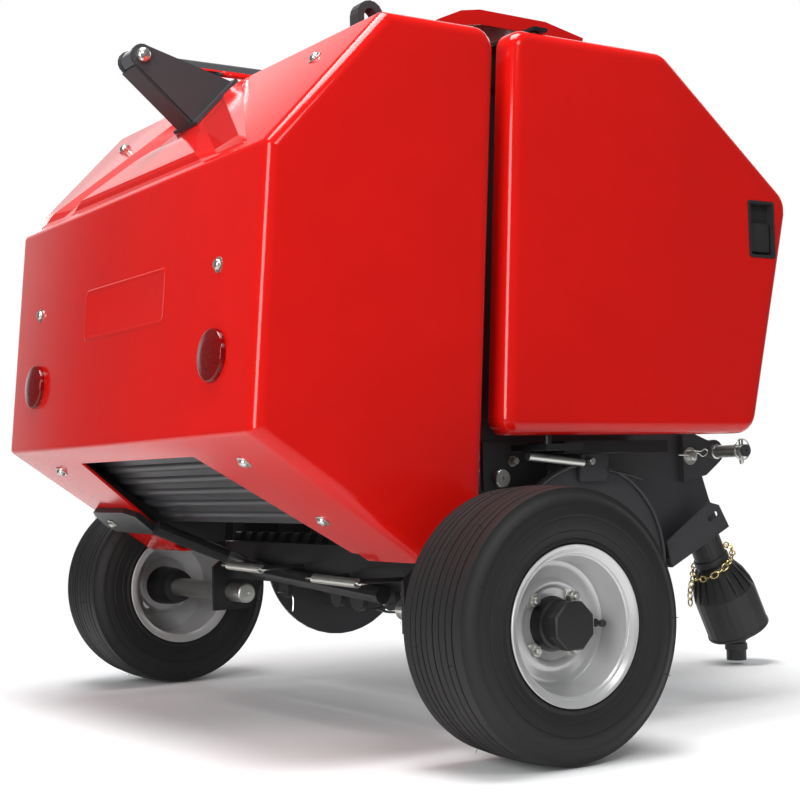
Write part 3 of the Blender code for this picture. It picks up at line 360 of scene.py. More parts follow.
mouth_top = slope[0] + 0.14 * (slope[1] - slope[0])
mouth_foot = slope[1] + 0.03 * slope_run
mouth = stacked("mouth", [np.array([(x, *(p + depth * slope_out) + (axle_y, 0.0)) for x, p in
                                    ((-0.232, mouth_top), (0.232, mouth_top),
                                     (0.344, mouth_foot), (-0.344, mouth_foot))])
                          for depth in (-0.02, 0.02)])
foot_gap = stacked("foot_gap", [ring_at(np.array(((-0.125, 0.27), (0.02, 0.27), (0.02, 0.30), (-0.125, 0.30))), x)
                                for x in (-0.344, 0.344)])
carve(skin, (hollow, 'DIFFERENCE'), (front_gap, 'DIFFERENCE'), (front_top, 'DIFFERENCE'),
      (mouth, 'DIFFERENCE'), (foot_gap, 'DIFFERENCE'))
dress(skin, "tailgate", "red_cover", "tailgate_shell", "tailgate_cover_right", "tailgate_cover_left")

# The raised seat of the ram's bracket is pressed into the upper slope: a flat top with
# long facets down its sides.
upper = np.array(((-0.152, 1.117), (-0.358, 0.900)))
upper_run = (upper[1] - upper[0]) / np.linalg.norm(upper[1] - upper[0])
upper_out = np.array((-upper_run[1], upper_run[0]))
upper_out *= np.sign(upper_out[1])


def on_upper_slope(x, down, rise):
    """A point on the upper slope: across, down from its top edge, and above its face."""
    y, z = upper[0] + down * upper_run + rise * upper_out
    return np.array((x, y + axle_y, z))


def smoothstep(value, low, high):
    """0 up to low, 1 past high, and a smooth rise between."""
    share = np.clip((value - low) / (high - low), 0.0, 1.0)
    return share * share * (3 - 2 * share)


seat_rings = []
for down in np.linspace(0.004, 0.286, 40):
    rise = smoothstep(down, 0.004, 0.05) * (1 - smoothstep(down, 0.262, 0.286))
    plateau = (0.0028 + 0.009 * smoothstep(down, 0.125, 0.20)) * rise
    inner = max(0.050, 0.047 + (down - 0.155) * 1.73)
    valley = max(inner + 0.008, 0.080 + (down - 0.139) * 1.708)
    ridge = max(valley + 0.008, 0.077 + (down - 0.0726) * 1.598)
    edge = max(ridge + 0.008, 0.061 + (down - 0.019) * 1.368)
    half = ((edge, -0.002), (edge, 0.0004), (ridge, 0.009 * rise), (valley, 0.002 * rise), (inner, plateau))
    seat_rings.append(np.array([on_upper_slope(-x, down, z) for x, z in half]
                               + [on_upper_slope(x, down, z) for x, z in half[::-1]]))
seat = stacked("bracket_seat", seat_rings)
seat.data.set_sharp_from_angle(angle=math.radians(6))
dress(seat, "tailgate", "red_cover")

# ------------------------------------------------------------------ side covers
# Each front side cover is a red moulding like a shallow tray, with soft corners and a
# wide rounded rim.  The right one shows a black latch let into its nose.
cover_outline = ((0.0875, 1.123, 0.030), (0.411, 1.123, 0.045), (0.699, 0.890, 0.045),
                 (0.594, 0.476, 0.040), (0.047, 0.476, 0.026))
for label, side in (("right", 1.0), ("left", -1.0)):
    low, high = sorted((side * (skin_half - flank_depth), side * skin_half))
    rims = (0.0, 0.022) if side > 0 else (0.022, 0.0)
    tray = rounded_slab("cover_skin_" + label, cover_outline, low, high, *rims)
    low, high = sorted((side * (skin_half - flank_depth - 0.01), side * (skin_half - skin_wall)))
    rims = (0.0, 0.018) if side > 0 else (0.018, 0.0)
    inside = rounded_slab("inside", moved_in(cover_outline, skin_wall), low, high, *rims)
    pocket_line = ((0.590, 0.783, 0.006), (0.654, 0.783, 0.006), (0.654, 0.884, 0.006), (0.590, 0.884, 0.006))
    low, high = sorted((side * (skin_half - 0.03), side * (skin_half + 0.01)))
    pocket = rounded_slab("pocket", pocket_line, low, high, 0.0, 0.0)
    carve(tray, (inside, 'DIFFERENCE'), (pocket, 'DIFFERENCE'))
    dress(tray, "cover_" + label, "red_cover", "side_cover_" + label)
    # latch: a framed black tray with a paddle in it
    low, high = sorted((side * (skin_half - 0.016), side * (skin_half + 0.0015)))
    frame_line = moved_in(pocket_line, 0.0004)
    latch = rounded_slab("latch_" + label, frame_line, low, high, 0.0, 0.0)
    low, high = sorted((side * (skin_half - 0.013), side * (skin_half + 0.01)))
    carve(latch, (rounded_slab("recess", moved_in(pocket_line, 0.0055), low, high, 0.0, 0.0), 'DIFFERENCE'))
    dress(latch, "cover_" + label, "black_plastic")
    paddle_line = ((0.598, 0.793, 0.004), (0.646, 0.793, 0.004), (0.646, 0.846, 0.004), (0.598, 0.846, 0.004))
    low, high = sorted((side * (skin_half - 0.0134), side * (skin_half - 0.004)))
    dress(rounded_slab("paddle_" + label, paddle_line, low, high, *((0.0, 0.003) if side > 0 else (0.003, 0.0))),
          "cover_" + label, "black_plastic")

# ------------------------------------------------------------------ wheels
# 16 inch tyres with straight ribs on one-piece silver rims.  A black hub with a
# faceted cap is held by four plated bolts, and the outer rim carries the valve.
wheel_x = (tyre_low[0] + tyre_high[0]) / 2
wheel_z = (tyre_low[2] + tyre_high[2]) / 2


def turned(name, profile, centre, side, sides=96, closed=True):
    """A profile of (out, radius) carried once round the X axis through centre; out grows with side."""
    profile = np.asarray(profile, float)
    angle = np.linspace(0, 2 * math.pi, sides, endpoint=False)
    x = centre[0] + side * np.repeat(profile[None, :, 0], sides, axis=0)
    y = centre[1] + profile[None, :, 1] * np.cos(angle)[:, None]
    z = centre[2] + profile[None, :, 1] * np.sin(angle)[:, None]
    points = np.stack((x, y, z), axis=2).reshape(-1, 3)
    size = len(profile)
    index = np.arange(sides * size).reshape(sides, size)
    last = size if closed else size - 1
    across = np.roll(index, -1, axis=1)[:, :last]
    near = index[:, :last]
    faces = np.stack((near, across, np.roll(across, -1, axis=0), np.roll(near, -1, axis=0)), axis=2).reshape(-1, 4)
    piece = mesh_object(name, points, faces)
    return piece


def tyre_section():
    """Half of the tyre's section: bead, bulging wall with its moulded rings, shoulder, ribs."""
    wall = [(0.0700, 0.1020), (0.0735, 0.1160), (0.0765, 0.1178), (0.0772, 0.1215), (0.0758, 0.1240),
            (0.0772, 0.1290), (0.0792, 0.1340), (0.0786, 0.1350), (0.0792, 0.1362), (0.0818, 0.1460),
            (0.0826, 0.1530), (0.0818, 0.1540), (0.0826, 0.1552), (0.0826, 0.1600), (0.0812, 0.1690),
            (0.0800, 0.1720), (0.0805, 0.1740), (0.0790, 0.1780), (0.0752, 0.1850), (0.0712, 0.1890)]
    ribs = []
    for near, far in ((0.0520, 0.0700), (0.0376, 0.0494), (0.0232, 0.0350), (0.0088, 0.0206)):
        crown = 0.199 - 0.0045 * (near / 0.07) ** 2
        ribs += [(far, crown - 0.0012), (near + 0.0006, crown), (near, crown - 0.0004),
                 (near - 0.0007, crown - 0.0040), (near - 0.0019, crown - 0.0040)]
    ribs.append((0.0062, 0.1989))
    return wall + ribs


half_section = tyre_section()
section = [(-out, radius) for out, radius in half_section] + half_section[::-1]
rim_section = (
    (0.0775, 0.1150), (0.0785, 0.1140), (0.0780, 0.1112), (0.0758, 0.1084), (0.0718, 0.1040), (0.0680, 0.0990), (0.0560, 0.0975),
    (0.0480, 0.0945), (0.0350, 0.0925), (0.0240, 0.0905), (0.0210, 0.0860), (0.0215, 0.0780), (0.0255, 0.0700),
    (0.0285, 0.0610), (0.0270, 0.0560), (0.0225, 0.0530), (0.0210, 0.0500), (0.0210, 0.0190), (0.0170, 0.0190),
    (0.0170, 0.0500), (0.0185, 0.0540), (0.0230, 0.0580), (0.0245, 0.0610), (0.0215, 0.0690), (0.0175, 0.0775),
    (0.0170, 0.0880), (0.0160, 0.0935), (-0.0300, 0.0950), (-0.0560, 0.0970), (-0.0700, 0.0985),
    (-0.0742, 0.1030), (-0.0775, 0.1105), (-0.0785, 0.1140), (-0.0775, 0.1150), (-0.0755, 0.1148),
    (-0.0735, 0.1110), (-0.0712, 0.1020), (-0.0702, 0.1013), (0.0702, 0.1013), (0.0712, 0.1020),
    (0.0735, 0.1110), (0.0755, 0.1148))
hub_section = ((0.0600, 0.0), (0.0600, 0.0270), (0.0580, 0.0300), (0.0560, 0.0310), (0.0400, 0.0320),
               (0.0380, 0.0360), (0.0215, 0.0400), (0.0165, 0.0400), (-0.0300, 0.0380), (-0.0450, 0.0360),
               (-0.0580, 0.0330), (-0.0600, 0.0192), (0.0560, 0.0192), (0.0570, 0.0))


def prism_x(name, low, high, y, z, radius, sides, chamfer=0.0, start=0.0):
    """A many-sided bar along X, its ends chamfered, about the line through y, z."""
    angle = start + np.linspace(0, 2 * math.pi, sides, endpoint=False)
    rings = []
    for x, reach in ((low, radius - chamfer), (low + chamfer, radius), (high - chamfer, radius), (high, radius - chamfer)):
        rings.append(np.stack((np.full(sides, x), y + axle_y + reach * np.cos(angle), z + reach * np.sin(angle)), axis=1))
    return stacked(name, rings)


for label, side in (("right", 1.0), ("left", -1.0)):
    body = "wheel_" + label
    centre = (side * wheel_x, axle_y, wheel_z)
    dress(turned("tyre_skin_" + label, section, centre, side, 128), body, "tyre", "tyre_" + label)
    dress(turned("rim_skin_" + label, rim_section, centre, side, 96), body, "rim_silver", "rim_" + label)
    dress(turned("hub_" + label, hub_section, centre, side, 48, closed=False), body, "black_paint")
    low, high = sorted((side * (wheel_x + 0.0560), side * (wheel_x + 0.0745)))
    dress(prism_x("hub_cap_" + label, low, high, 0.0, wheel_z, 0.0370, 8, 0.0025, math.pi / 8), body, "black_paint")
    for number in range(4):
        angle = math.radians(45 + 90 * number)
        y, z = 0.051 * math.cos(angle), wheel_z + 0.051 * math.sin(angle)
        low, high = sorted((side * (wheel_x + 0.0205), side * (wheel_x + 0.0228)))
        washer = prism_x("hub_washer_%s_%d" % (label, number), low, high, y, z, 0.0115, 20, 0.0004)
        low, high = sorted((side * (wheel_x + 0.0228), side * (wheel_x + 0.0320)))
        nut = prism_x("hub_nut_%s_%d" % (label, number), low, high, y, z, 0.0100, 6, 0.0016, angle)
        low, high = sorted((side * (wheel_x + 0.0320), side * (wheel_x + 0.0375)))
        stud = prism_x("hub_stud_%s_%d" % (label, number), low, high, y, z, 0.0052, 12, 0.0012)
        for fitting in (washer, nut, stud):
            dress(fitting, body, "zinc")
    angle = math.radians(-3)
    y, z = 0.0810 * math.cos(angle), wheel_z + 0.0810 * math.sin(angle)
    for part, near, far, radius, faces in (("seat", 0.0165, 0.0215, 0.0070, 16), ("stem", 0.0215, 0.0330, 0.0038, 12),
                                           ("cap", 0.0330, 0.0400, 0.0056, 8)):
        low, high = sorted((side * (wheel_x + near), side * (wheel_x + far)))
        dress(prism_x("valve_%s_%s" % (part, label), low, high, y, z, radius, faces, 0.0010), body, "black_plastic")
    # vent hairs left by the tyre's mould, standing square to the rubber
    for number in range(44):
        angle = 2 * math.pi * (number + 0.37 * math.sin(7.0 * number)) / 22
        out, radius, lean_out = ((0.0795, 0.178, 0.006), (-0.0795, 0.178, -0.006))[number % 2] if number % 4 < 2 else \
            ((0.0450, 0.1960, 0.0), (-0.0300, 0.1970, 0.0))[number % 2]
        length = 0.007 + 0.003 * math.sin(3.0 * number)
        if wheel_z + (radius + length) * math.sin(angle) < 0.012:
            continue
        root = np.array((side * (wheel_x + out), axle_y + radius * math.cos(angle), wheel_z + radius * math.sin(angle)))
        tip = root + np.array((side * lean_out, length * math.cos(angle), length * math.sin(angle)))
        hair = np.linspace(root, tip, 3)
        around = np.linspace(0, 2 * math.pi, 5, endpoint=False)
        over = np.array((0.0, -math.sin(angle), math.cos(angle)))
        rings = [point + 0.0005 * (np.outer(np.cos(around), (1.0, 0.0, 0.0)) + np.outer(np.sin(around), over))
                 for point in hair]
        dress(stacked("vent_hair_%s_%d" % (label, number), rings), body, "tyre")

# ------------------------------------------------------------------ screws, reflectors, badge place
# Plated screws with washers hold the moulding to the tailgate's frame; two round red
# reflectors are stuck on its back, and a bare raised panel sits between them.
def lathe(name, profile, place, axis, sides=24, start=0.0):
    """A profile of (along, radius) turned about the line through place along axis."""
    axis = np.asarray(axis, float) / np.linalg.norm(axis)
    helper = np.array((1.0, 0.0, 0.0)) if abs(axis[0]) < 0.9 else np.array((0.0, 0.0, 1.0))
    one = np.cross(axis, helper)
    one /= np.linalg.norm(one)
    two = np.cross(axis, one)
    angle = start + np.linspace(0, 2 * math.pi, sides, endpoint=False)[:, None]
    around = np.cos(angle) * one + np.sin(angle) * two
    return stacked(name, [np.asarray(place) + along * axis + max(radius, 0.0001) * around
                          for along, radius in profile])


screw_head = ((0.0, 0.0125), (0.0014, 0.0125), (0.0019, 0.0116), (0.0020, 0.0086), (0.0045, 0.0083),
              (0.0070, 0.0062), (0.0078, 0.0030))


def on_side(first, last, share, x, rise=0.0):
    """A point on a flat side between two corners of (y, z), and that side's outward normal."""
    first, last = np.array(first[:2]), np.array(last[:2])
    y, z = first + share * (last - first)
    run = (last - first) / np.linalg.norm(last - first)
    normal = np.array((run[1], -run[0]))
    if normal[0] > 0:
        normal = -normal
    return np.array((x, y + axle_y + rise * normal[0], z + rise * normal[1])), np.array((0.0, *normal))


corner_b, corner_c, corner_d, corner_e = tailgate_outline[1:5]
screw_rows = (("upper", corner_b, corner_c, 0.226), ("rear", corner_c, corner_d, 0.393),
              ("lower", corner_d, corner_e, 0.1985), ("foot", corner_d, corner_e, 0.6585))
for row, first, last, share in screw_rows:
    for label, side in (("right", 1.0), ("left", -1.0)):
        place, normal = on_side(first, last, share, side * 0.372)
        dress(lathe("screw_%s_%s" % (row, label), screw_head, place, normal, 12), "tailgate", "zinc")

reflector_red = bpy.data.materials.new("reflector_red")
reflector_red.use_nodes = True
tree = reflector_red.node_tree
shader = tree.nodes["Principled BSDF"]
shader.inputs["Roughness"].default_value = 0.06
shader.inputs["Specular IOR Level"].default_value = 0.35
where = tree.nodes.new("ShaderNodeTexCoord")
prisms = tree.nodes.new("ShaderNodeTexVoronoi")
prisms.inputs["Scale"].default_value = 420.0
tree.links.new(where.outputs["Object"], prisms.inputs["Vector"])
ramp = tree.nodes.new("ShaderNodeValToRGB")
ramp.color_ramp.elements[0].color = (0.20, 0.002, 0.003, 1.0)
ramp.color_ramp.elements[1].color = (0.07, 0.001, 0.001, 1.0)
tree.links.new(prisms.outputs["Distance"], ramp.inputs["Fac"])
tree.links.new(ramp.outputs["Color"], shader.inputs["Base Color"])
reflector_bowl = ((0.0, 0.0400), (0.0060, 0.0400), (0.0080, 0.0392), (0.0088, 0.0380), (0.0090, 0.0350),
                  (0.0108, 0.0280), (0.0120, 0.0180), (0.0126, 0.0060))
for label, side in (("right", 1.0), ("left", -1.0)):
    place, normal = on_side(corner_c, corner_d, (0.900 - 0.601) / 0.417, side * 0.371)
    dress(lathe("reflector_" + label, reflector_bowl, place, normal, 48), "tailgate", "red_cover",
          material=reflector_red)

badge_centre, badge_normal = on_side(corner_c, corner_d, (0.900 - 0.712) / 0.417, 0.02)
badge_up = np.cross(badge_normal, (1.0, 0.0, 0.0))
badge_up *= np.sign(badge_up[2])
badge_half = np.array((0.1675, 0.045))
badge_rings = []
for rise, grow in ((-0.001, 0.0), (0.0, 0.0), (0.0012, -0.0015), (0.0016, -0.0030), (0.0008, -0.0055),
                   (0.0006, -0.0070)):
    corners = [(sx * (badge_half[0] + grow), sz * (badge_half[1] + grow), 0.010)
               for sx, sz in ((-1, -1), (1, -1), (1, 1), (-1, 1))]
    badge_rings.append(np.array([badge_centre + badge_normal * rise + np.array((px, 0, 0)) + badge_up * pz
                                 for px, pz in soft_outline(corners)]))
dress(stacked("badge_panel", badge_rings), "tailgate", "red_cover")


# ------------------------------------------------------------------ ram's pins
# Plated pins with domed heads hold the ram's eyes.
pin_dome = ((0.0, 0.0125), (0.0050, 0.0125), (0.0080, 0.0108), (0.0098, 0.0070), (0.0104, 0.0025))
tail_pin_y, ram_z = -0.335, 1.138
for label, side in (("right", 1.0), ("left", -1.0)):
    dress(lathe("tail_pin_head_" + label, pin_dome, at(side * 0.0312, tail_pin_y, ram_z), (side, 0, 0), 28),
          "tailgate", "zinc")
    dress(lathe("base_pin_head_" + label, pin_dome, at(side * 0.0304, 0.440, ram_z), (side, 0, 0), 28),
          "frame", "zinc")


def tube(name, path, radius, sides=8, cyclic=False):
    """A round wire along a path; each ring stands square to it and turns as little as it can."""
    path = np.asarray(path, float)
    if cyclic:
        along = np.roll(path, -1, axis=0) - np.roll(path, 1, axis=0)
    else:
        along = np.gradient(path, axis=0)
    along /= np.linalg.norm(along, axis=1)[:, None]
    helper = np.array((0.0, 0.0, 1.0)) if abs(along[0, 2]) < 0.9 else np.array((1.0, 0.0, 0.0))
    normal = np.cross(along[0], helper)
    frames = []
    for direction in along:
        normal = normal - direction * (normal @ direction)
        normal = normal / np.linalg.norm(normal)
        frames.append(normal)
    normals = np.array(frames)
    binormals = np.cross(along, normals)
    angle = np.linspace(0, 2 * math.pi, sides, endpoint=False)
    rings = (path[:, None] + radius * (np.cos(angle)[None, :, None] * normals[:, None]
                                       + np.sin(angle)[None, :, None] * binormals[:, None]))
    if not cyclic:
        return stacked(name, list(rings))
    count = len(path)
    index = np.arange(count * sides).reshape(count, sides)
    faces = np.stack((index, np.roll(index, -1, axis=1), np.roll(np.roll(index, -1, axis=0), -1, axis=1),
                      np.roll(index, -1, axis=0)), axis=2).reshape(-1, 4)
    return mesh_object(name, rings.reshape(-1, 3), faces)


def smooth_path(points, count):
    """count points of a smooth curve through the given ones (Catmull-Rom, end points doubled)."""
    points = np.asarray([tuple(p) for p in points], float)
    padded = np.concatenate((points[:1] * 2 - points[1:2], points, points[-1:] * 2 - points[-2:-1]))
    place = np.linspace(0, len(points) - 1 - 1e-9, count)
    whole = place.astype(int)
    t = (place - whole)[:, None]
    a, b, c, d = (padded[whole + k] for k in range(4))
    return 0.5 * (2 * b + (c - a) * t + (2 * a - 5 * b + 4 * c - d) * t ** 2 + (3 * b - a - 3 * c + d) * t ** 3)


# ------------------------------------------------------------------ under the tail
# Behind the axle beam: two plated extension springs hooked on pins, the tube's foot on
# the tailgate's left strip, round lugs with split pins, and plated ends of the stub axles.
def coil_spring(name, first, last, radius, wire, hook):
    """A close-wound spring: a helix from first to last, with an open hook bent at each end."""
    first, last = np.asarray(first), np.asarray(last)
    run = last - first
    length = np.linalg.norm(run)
    run = run / length
    one = np.cross(run, (0.0, 0.0, 1.0))
    one /= np.linalg.norm(one)
    two = np.cross(run, one)
    turns = int(length / (wire * 2.15))
    step = np.linspace(0, 2 * math.pi * turns, turns * 12 + 1)
    helix = (first + np.outer(step / step[-1] * length, run)
             + radius * (np.outer(np.cos(step), one) + np.outer(np.sin(step), two)))
    bend = np.linspace(-math.pi / 2, math.pi, 12)[:, None]
    far = last + run * (hook + 0.004) + hook * (np.sin(bend) * run + np.cos(bend) * -one * 1.0)
    near = first - run * (hook + 0.004) - hook * (np.sin(bend) * run + np.cos(bend) * -one * 1.0)
    return tube(name, np.concatenate((near[::-1], helix, far)), wire, 6)


for label, start, finish_x, z in (("left", -0.158, -0.030, 0.262), ("right", 0.156, 0.296, 0.250)):
    y = -0.098
    dress(coil_spring("tail_spring_" + label, at(start, y, z), at(finish_x, y, z - 0.003), 0.0068, 0.0013, 0.008),
          "frame", "zinc")
    for end in (start - 0.014, finish_x + 0.014):
        dress(lathe("spring_pin_%s_%d" % (label, round(end * 1000)), ((0, 0.004), (0.082, 0.004)),
                    at(end, y - 0.006, z), (0, 1, 0), 12), "frame", "black_paint")

tube_foot = stacked("tube_foot", [np.array([on_side(corner_d, corner_e, share, x, rise)[0] for share, rise in
                                            ((near, 0.0004), (near, 0.011), (far, 0.015), (far, 0.0004))])
                                  for x, near, far in ((-0.480, 0.60, 0.68), (-0.462, 0.56, 0.74),
                                                       (-0.320, 0.56, 0.76), (-0.285, 0.60, 0.74))], smooth=False)
dress(tube_foot, "tailgate", "black_paint")
place, normal = on_side(corner_d, corner_e, 0.66, -0.430, 0.013)
dress(lathe("tube_foot_bolt", screw_head, place, normal, 6), "tailgate", "zinc")

for number, (x, low, radius) in enumerate(((-0.130, 0.212, 0.018), (0.060, 0.206, 0.018), (0.130, 0.205, 0.022),
                                           (0.235, 0.208, 0.018))):
    lug = ((x - radius, 0.232, 0.002), (x + radius, 0.232, 0.002), (x + radius, low - radius * 0.8, radius * 0.9),
           (x - radius, low - radius * 0.8, radius * 0.9))
    flat = soft_outline(lug)
    rings = [np.stack((flat[:, 0], np.full(len(flat), y + axle_y), flat[:, 1]), axis=1) for y in (0.000, 0.010)]
    dress(stacked("beam_lug_%d" % number, rings), "frame", "black_paint")
    if number in (0, 3):
        clip = [at(x, -0.012, low - 0.004), at(x, 0.012, low - 0.004), at(x + 0.003, 0.018, low - 0.018),
                at(x + 0.006, 0.015, low - 0.040)]
        dress(tube("split_pin_%d" % number, smooth_path(clip, 16), 0.0013, 6), "frame", "zinc")

comb_count = 15
for number in range(comb_count):
    x = -0.322 + 0.644 * number / (comb_count - 1)
    tooth = soft_outline(((0.0, 0.2998, 0.001), (0.030, 0.2998, 0.001), (0.030, 0.318, 0.004), (0.008, 0.318, 0.004)), 3)
    dress(stacked("comb_tooth_%d" % number, [ring_at(tooth, x - 0.012), ring_at(tooth, x + 0.012)]), "frame",
          "black_paint")

for label, side in (("right", 1.0), ("left", -1.0)):
    # stub axle: turned step, locking collar with its bolt, and a centre mark in its end
    dress(lathe("axle_collar_" + label, ((0, 0.0190), (0.001, 0.0240), (0.026, 0.0240), (0.028, 0.0225), (0.028, 0.0190)),
                at(side * 0.378, 0.0, wheel_z), (side, 0, 0), 32), "frame", "zinc")
    dress(lathe("axle_nose_" + label, ((0.0, 0.0184), (0.0004, 0.0172), (0.0016, 0.0160), (0.0018, 0.0050), (0.0006, 0.0040)),
                at(side * 0.2801, 0.0, wheel_z), (-side, 0, 0), 32), "frame", "zinc")
    for y, z in ((-0.026, 0.236), (0.026, 0.236), (0.074, 0.335)):
        dress(lathe("axle_bolt_%s_%d" % (label, round((y + z) * 1000)), ((0, 0.0095), (0.0018, 0.0095), (0.0018, 0.0078),
                    (0.0070, 0.0078), (0.0078, 0.0066)), at(side * 0.3443, y, z), (side, 0, 0), 6), "frame", "zinc")

# ------------------------------------------------------------------ apron behind the mouth
# The folded sheet that closes the mouth is stiffened by pressed ribs across its width; the ribs take a lighter paint
# than the black sheet, a painted highlight along each rib.
apron_low, apron_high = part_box("tailgate_apron")
apron_foot = np.array((apron_high[1], apron_low[2]))
apron_run = np.array((apron_low[1], apron_high[2])) - apron_foot
apron_length = np.linalg.norm(apron_run)
apron_run /= apron_length
apron_out = np.array((-apron_run[1], apron_run[0]))
for number in range(7):
    middle_share = 0.10 + 0.80 * number / 6
    centre = apron_foot + apron_run * apron_length * middle_share + apron_out * 0.0012
    bulge = np.linspace(0, math.pi, 9)
    profile = np.array([centre + apron_run * 0.0095 * math.cos(a) + apron_out * 0.0062 * math.sin(a) for a in bulge])
    rings = [np.column_stack((np.full(len(profile), x), profile)) for x in np.linspace(-0.325, 0.325, 5)]
    # lighter dark paint on the ribs: painted highlight lines along the pressed ribs
    dress(stacked("apron_rib_%d" % number, rings), "tailgate", "dark_paint")

# ------------------------------------------------------------------ fittings on the side plates
# Below each side cover: a plated strut in a bent bracket, bolts, a shaft's end, the
# folded rail with its slot at the foot of the plate, and the hitch pins with clips.
plate_x = 0.3583
for label, side in (("right", 1.0), ("left", -1.0)):
    out = (side, 0, 0)
    # doubling strip along the plate's foot, which closes the space above the pickup
    strip = soft_outline(((0.108, 0.388, 0.004), (0.340, 0.388, 0.010), (0.372, 0.470, 0.010), (0.108, 0.470, 0.004)))
    low, high = sorted((side * plate_x, side * (plate_x + 0.0034)))
    dress(stacked("foot_strip_" + label, [ring_at(strip, low), ring_at(strip, high)]), "frame", "dark_paint")
    for number, (y, z, radius, height) in enumerate(((0.168, 0.437, 0.0065, 0.012), (0.249, 0.414, 0.0055, 0.010))):
        dress(lathe("plate_bolt_%s_%d" % (label, number), ((0, radius * 1.5), (0.0016, radius * 1.5), (0.0016, radius),
                    (height, radius), (height + 0.001, radius * 0.8)), at(side * (plate_x + 0.0036), y, z), out, 6),
              "frame", "zinc")
    dress(lathe("roller_shaft_end_" + label, ((0, 0.0150), (0.0080, 0.0150), (0.0095, 0.0138), (0.0095, 0.0030),
                                              (0.0080, 0.0015)),
                at(side * (plate_x + 0.0036), 0.142, 0.409), out, 28), "frame", "zinc")
    dress(tube("cover_strut_" + label, [at(side * 0.420, 0.156, 0.444), at(side * 0.420, 0.271, 0.432)], 0.0075, 14),
          "frame", "zinc")
    bracket = soft_outline(((0.264, 0.400, 0.002), (0.322, 0.400, 0.002), (0.326, 0.445, 0.008), (0.268, 0.4466, 0.004)))
    low, high = sorted((side * 0.4155, side * 0.4215))
    dress(stacked("strut_bracket_" + label, [ring_at(bracket, low), ring_at(bracket, high)]), "frame", "dark_paint")
    dress(lathe("strut_pin_" + label, ((0, 0.006), (0.011, 0.006), (0.012, 0.005)), at(side * 0.4217, 0.283, 0.434), out, 16),
          "frame", "zinc")
    needle = [at(side * 0.425, 0.322, 0.418), at(side * 0.430, 0.352, 0.412), at(side * 0.432, 0.392, 0.402)]
    dress(tube("strut_clip_" + label, smooth_path(needle, 12), 0.0022, 6), "frame", "black_paint")

    # folded rail: a lip along the plate's lower front edge, slotted near its tip
    rail_run = np.array((0.640 - 0.490, 0.316 - 0.245))
    rail_run /= np.linalg.norm(rail_run)
    rail_over = np.array((-rail_run[1], rail_run[0]))
    rail_low, rail_high = sorted((side * plate_x, side * (plate_x + 0.034)))
    base = np.array((0.490, 0.245))
    length = math.hypot(0.140, 0.066)
    lip = [base, base + rail_run * length, base + rail_run * length + rail_over * 0.004, base + rail_over * 0.004]
    dress(stacked("rail_lip_" + label, [ring_at(np.array(lip), rail_low), ring_at(np.array(lip), rail_high)], smooth=False),
          "frame", "dark_paint")
    upright = [base + rail_over * 0.0043, base + rail_run * length + rail_over * 0.0043,
               base + rail_run * (length - 0.004) + rail_over * 0.046, base + rail_run * (length - 0.022) + rail_over * 0.060,
               base + rail_run * 0.01 + rail_over * 0.046]
    near, far = sorted((side * (plate_x + 0.030), side * (plate_x + 0.034)))
    rail = stacked("rail_" + label, [ring_at(np.array(upright), near), ring_at(np.array(upright), far)], smooth=False)
    slot_centre = base + rail_run * (length - 0.026) + rail_over * 0.034
    slot_line = [slot_centre + rail_run * (u * 0.009 + 0.0055 * math.cos(a)) + rail_over * 0.0055 * math.sin(a)
                 for u, a in [(1, a) for a in np.linspace(-math.pi / 2, math.pi / 2, 8)]
                 + [(-1, a) for a in np.linspace(math.pi / 2, 1.5 * math.pi, 8)]]
    carve(rail, (stacked("rail_slot", [ring_at(np.array(slot_line), near - 0.01), ring_at(np.array(slot_line), far + 0.01)]),
                 'DIFFERENCE'))
    dress(rail, "frame", "dark_paint")

    # category 1 pin with its linch pin and ring, then a smaller pin with washer and clip
    pin_y, pin_z = 0.622, 0.447
    dress(lathe("hitch_pin_skin_" + label, ((0, 0.0135), (0.006, 0.0135), (0.007, 0.0112), (0.0745, 0.0112), (0.0790, 0.0085),
                                            (0.0795, 0.0020)), at(side * 0.3705, pin_y, pin_z), out, 32), "frame", "zinc")
    dress(lathe("linch_pin_" + label, ((0, 0.0040), (0.042, 0.0040), (0.045, 0.0025)),
                at(side * 0.437, pin_y, pin_z + 0.021), (0, 0, -1), 16), "frame", "zinc")
    loop = np.linspace(0, 2 * math.pi, 40, endpoint=False)
    ring_points = np.stack((np.full(40, side * 0.4395), pin_y + axle_y + 0.0185 * np.sin(loop),
                            pin_z + 0.002 + 0.0185 * np.cos(loop)), axis=1)
    dress(tube("linch_ring_" + label, ring_points, 0.0013, 8, cyclic=True), "frame", "zinc")
    dress(lathe("clip_washer_" + label, ((0, 0.0160), (0.0024, 0.0160), (0.0026, 0.0080), (0.0120, 0.0078), (0.0130, 0.0060)),
                at(side * 0.3705, 0.560, 0.440), out, 28), "frame", "zinc")
    clip = [(0.0, -0.034), (0.0, 0.0), (0.003, 0.012), (-0.003, 0.024), (0.004, 0.036), (0.010, 0.030), (0.006, 0.018),
            (0.008, 0.0), (0.008, -0.016)]
    clip = [at(side * 0.3790, 0.560 + b, 0.442 + a) for a, b in clip]
    dress(tube("r_clip_" + label, smooth_path(clip, 60), 0.0012, 6), "frame", "zinc")

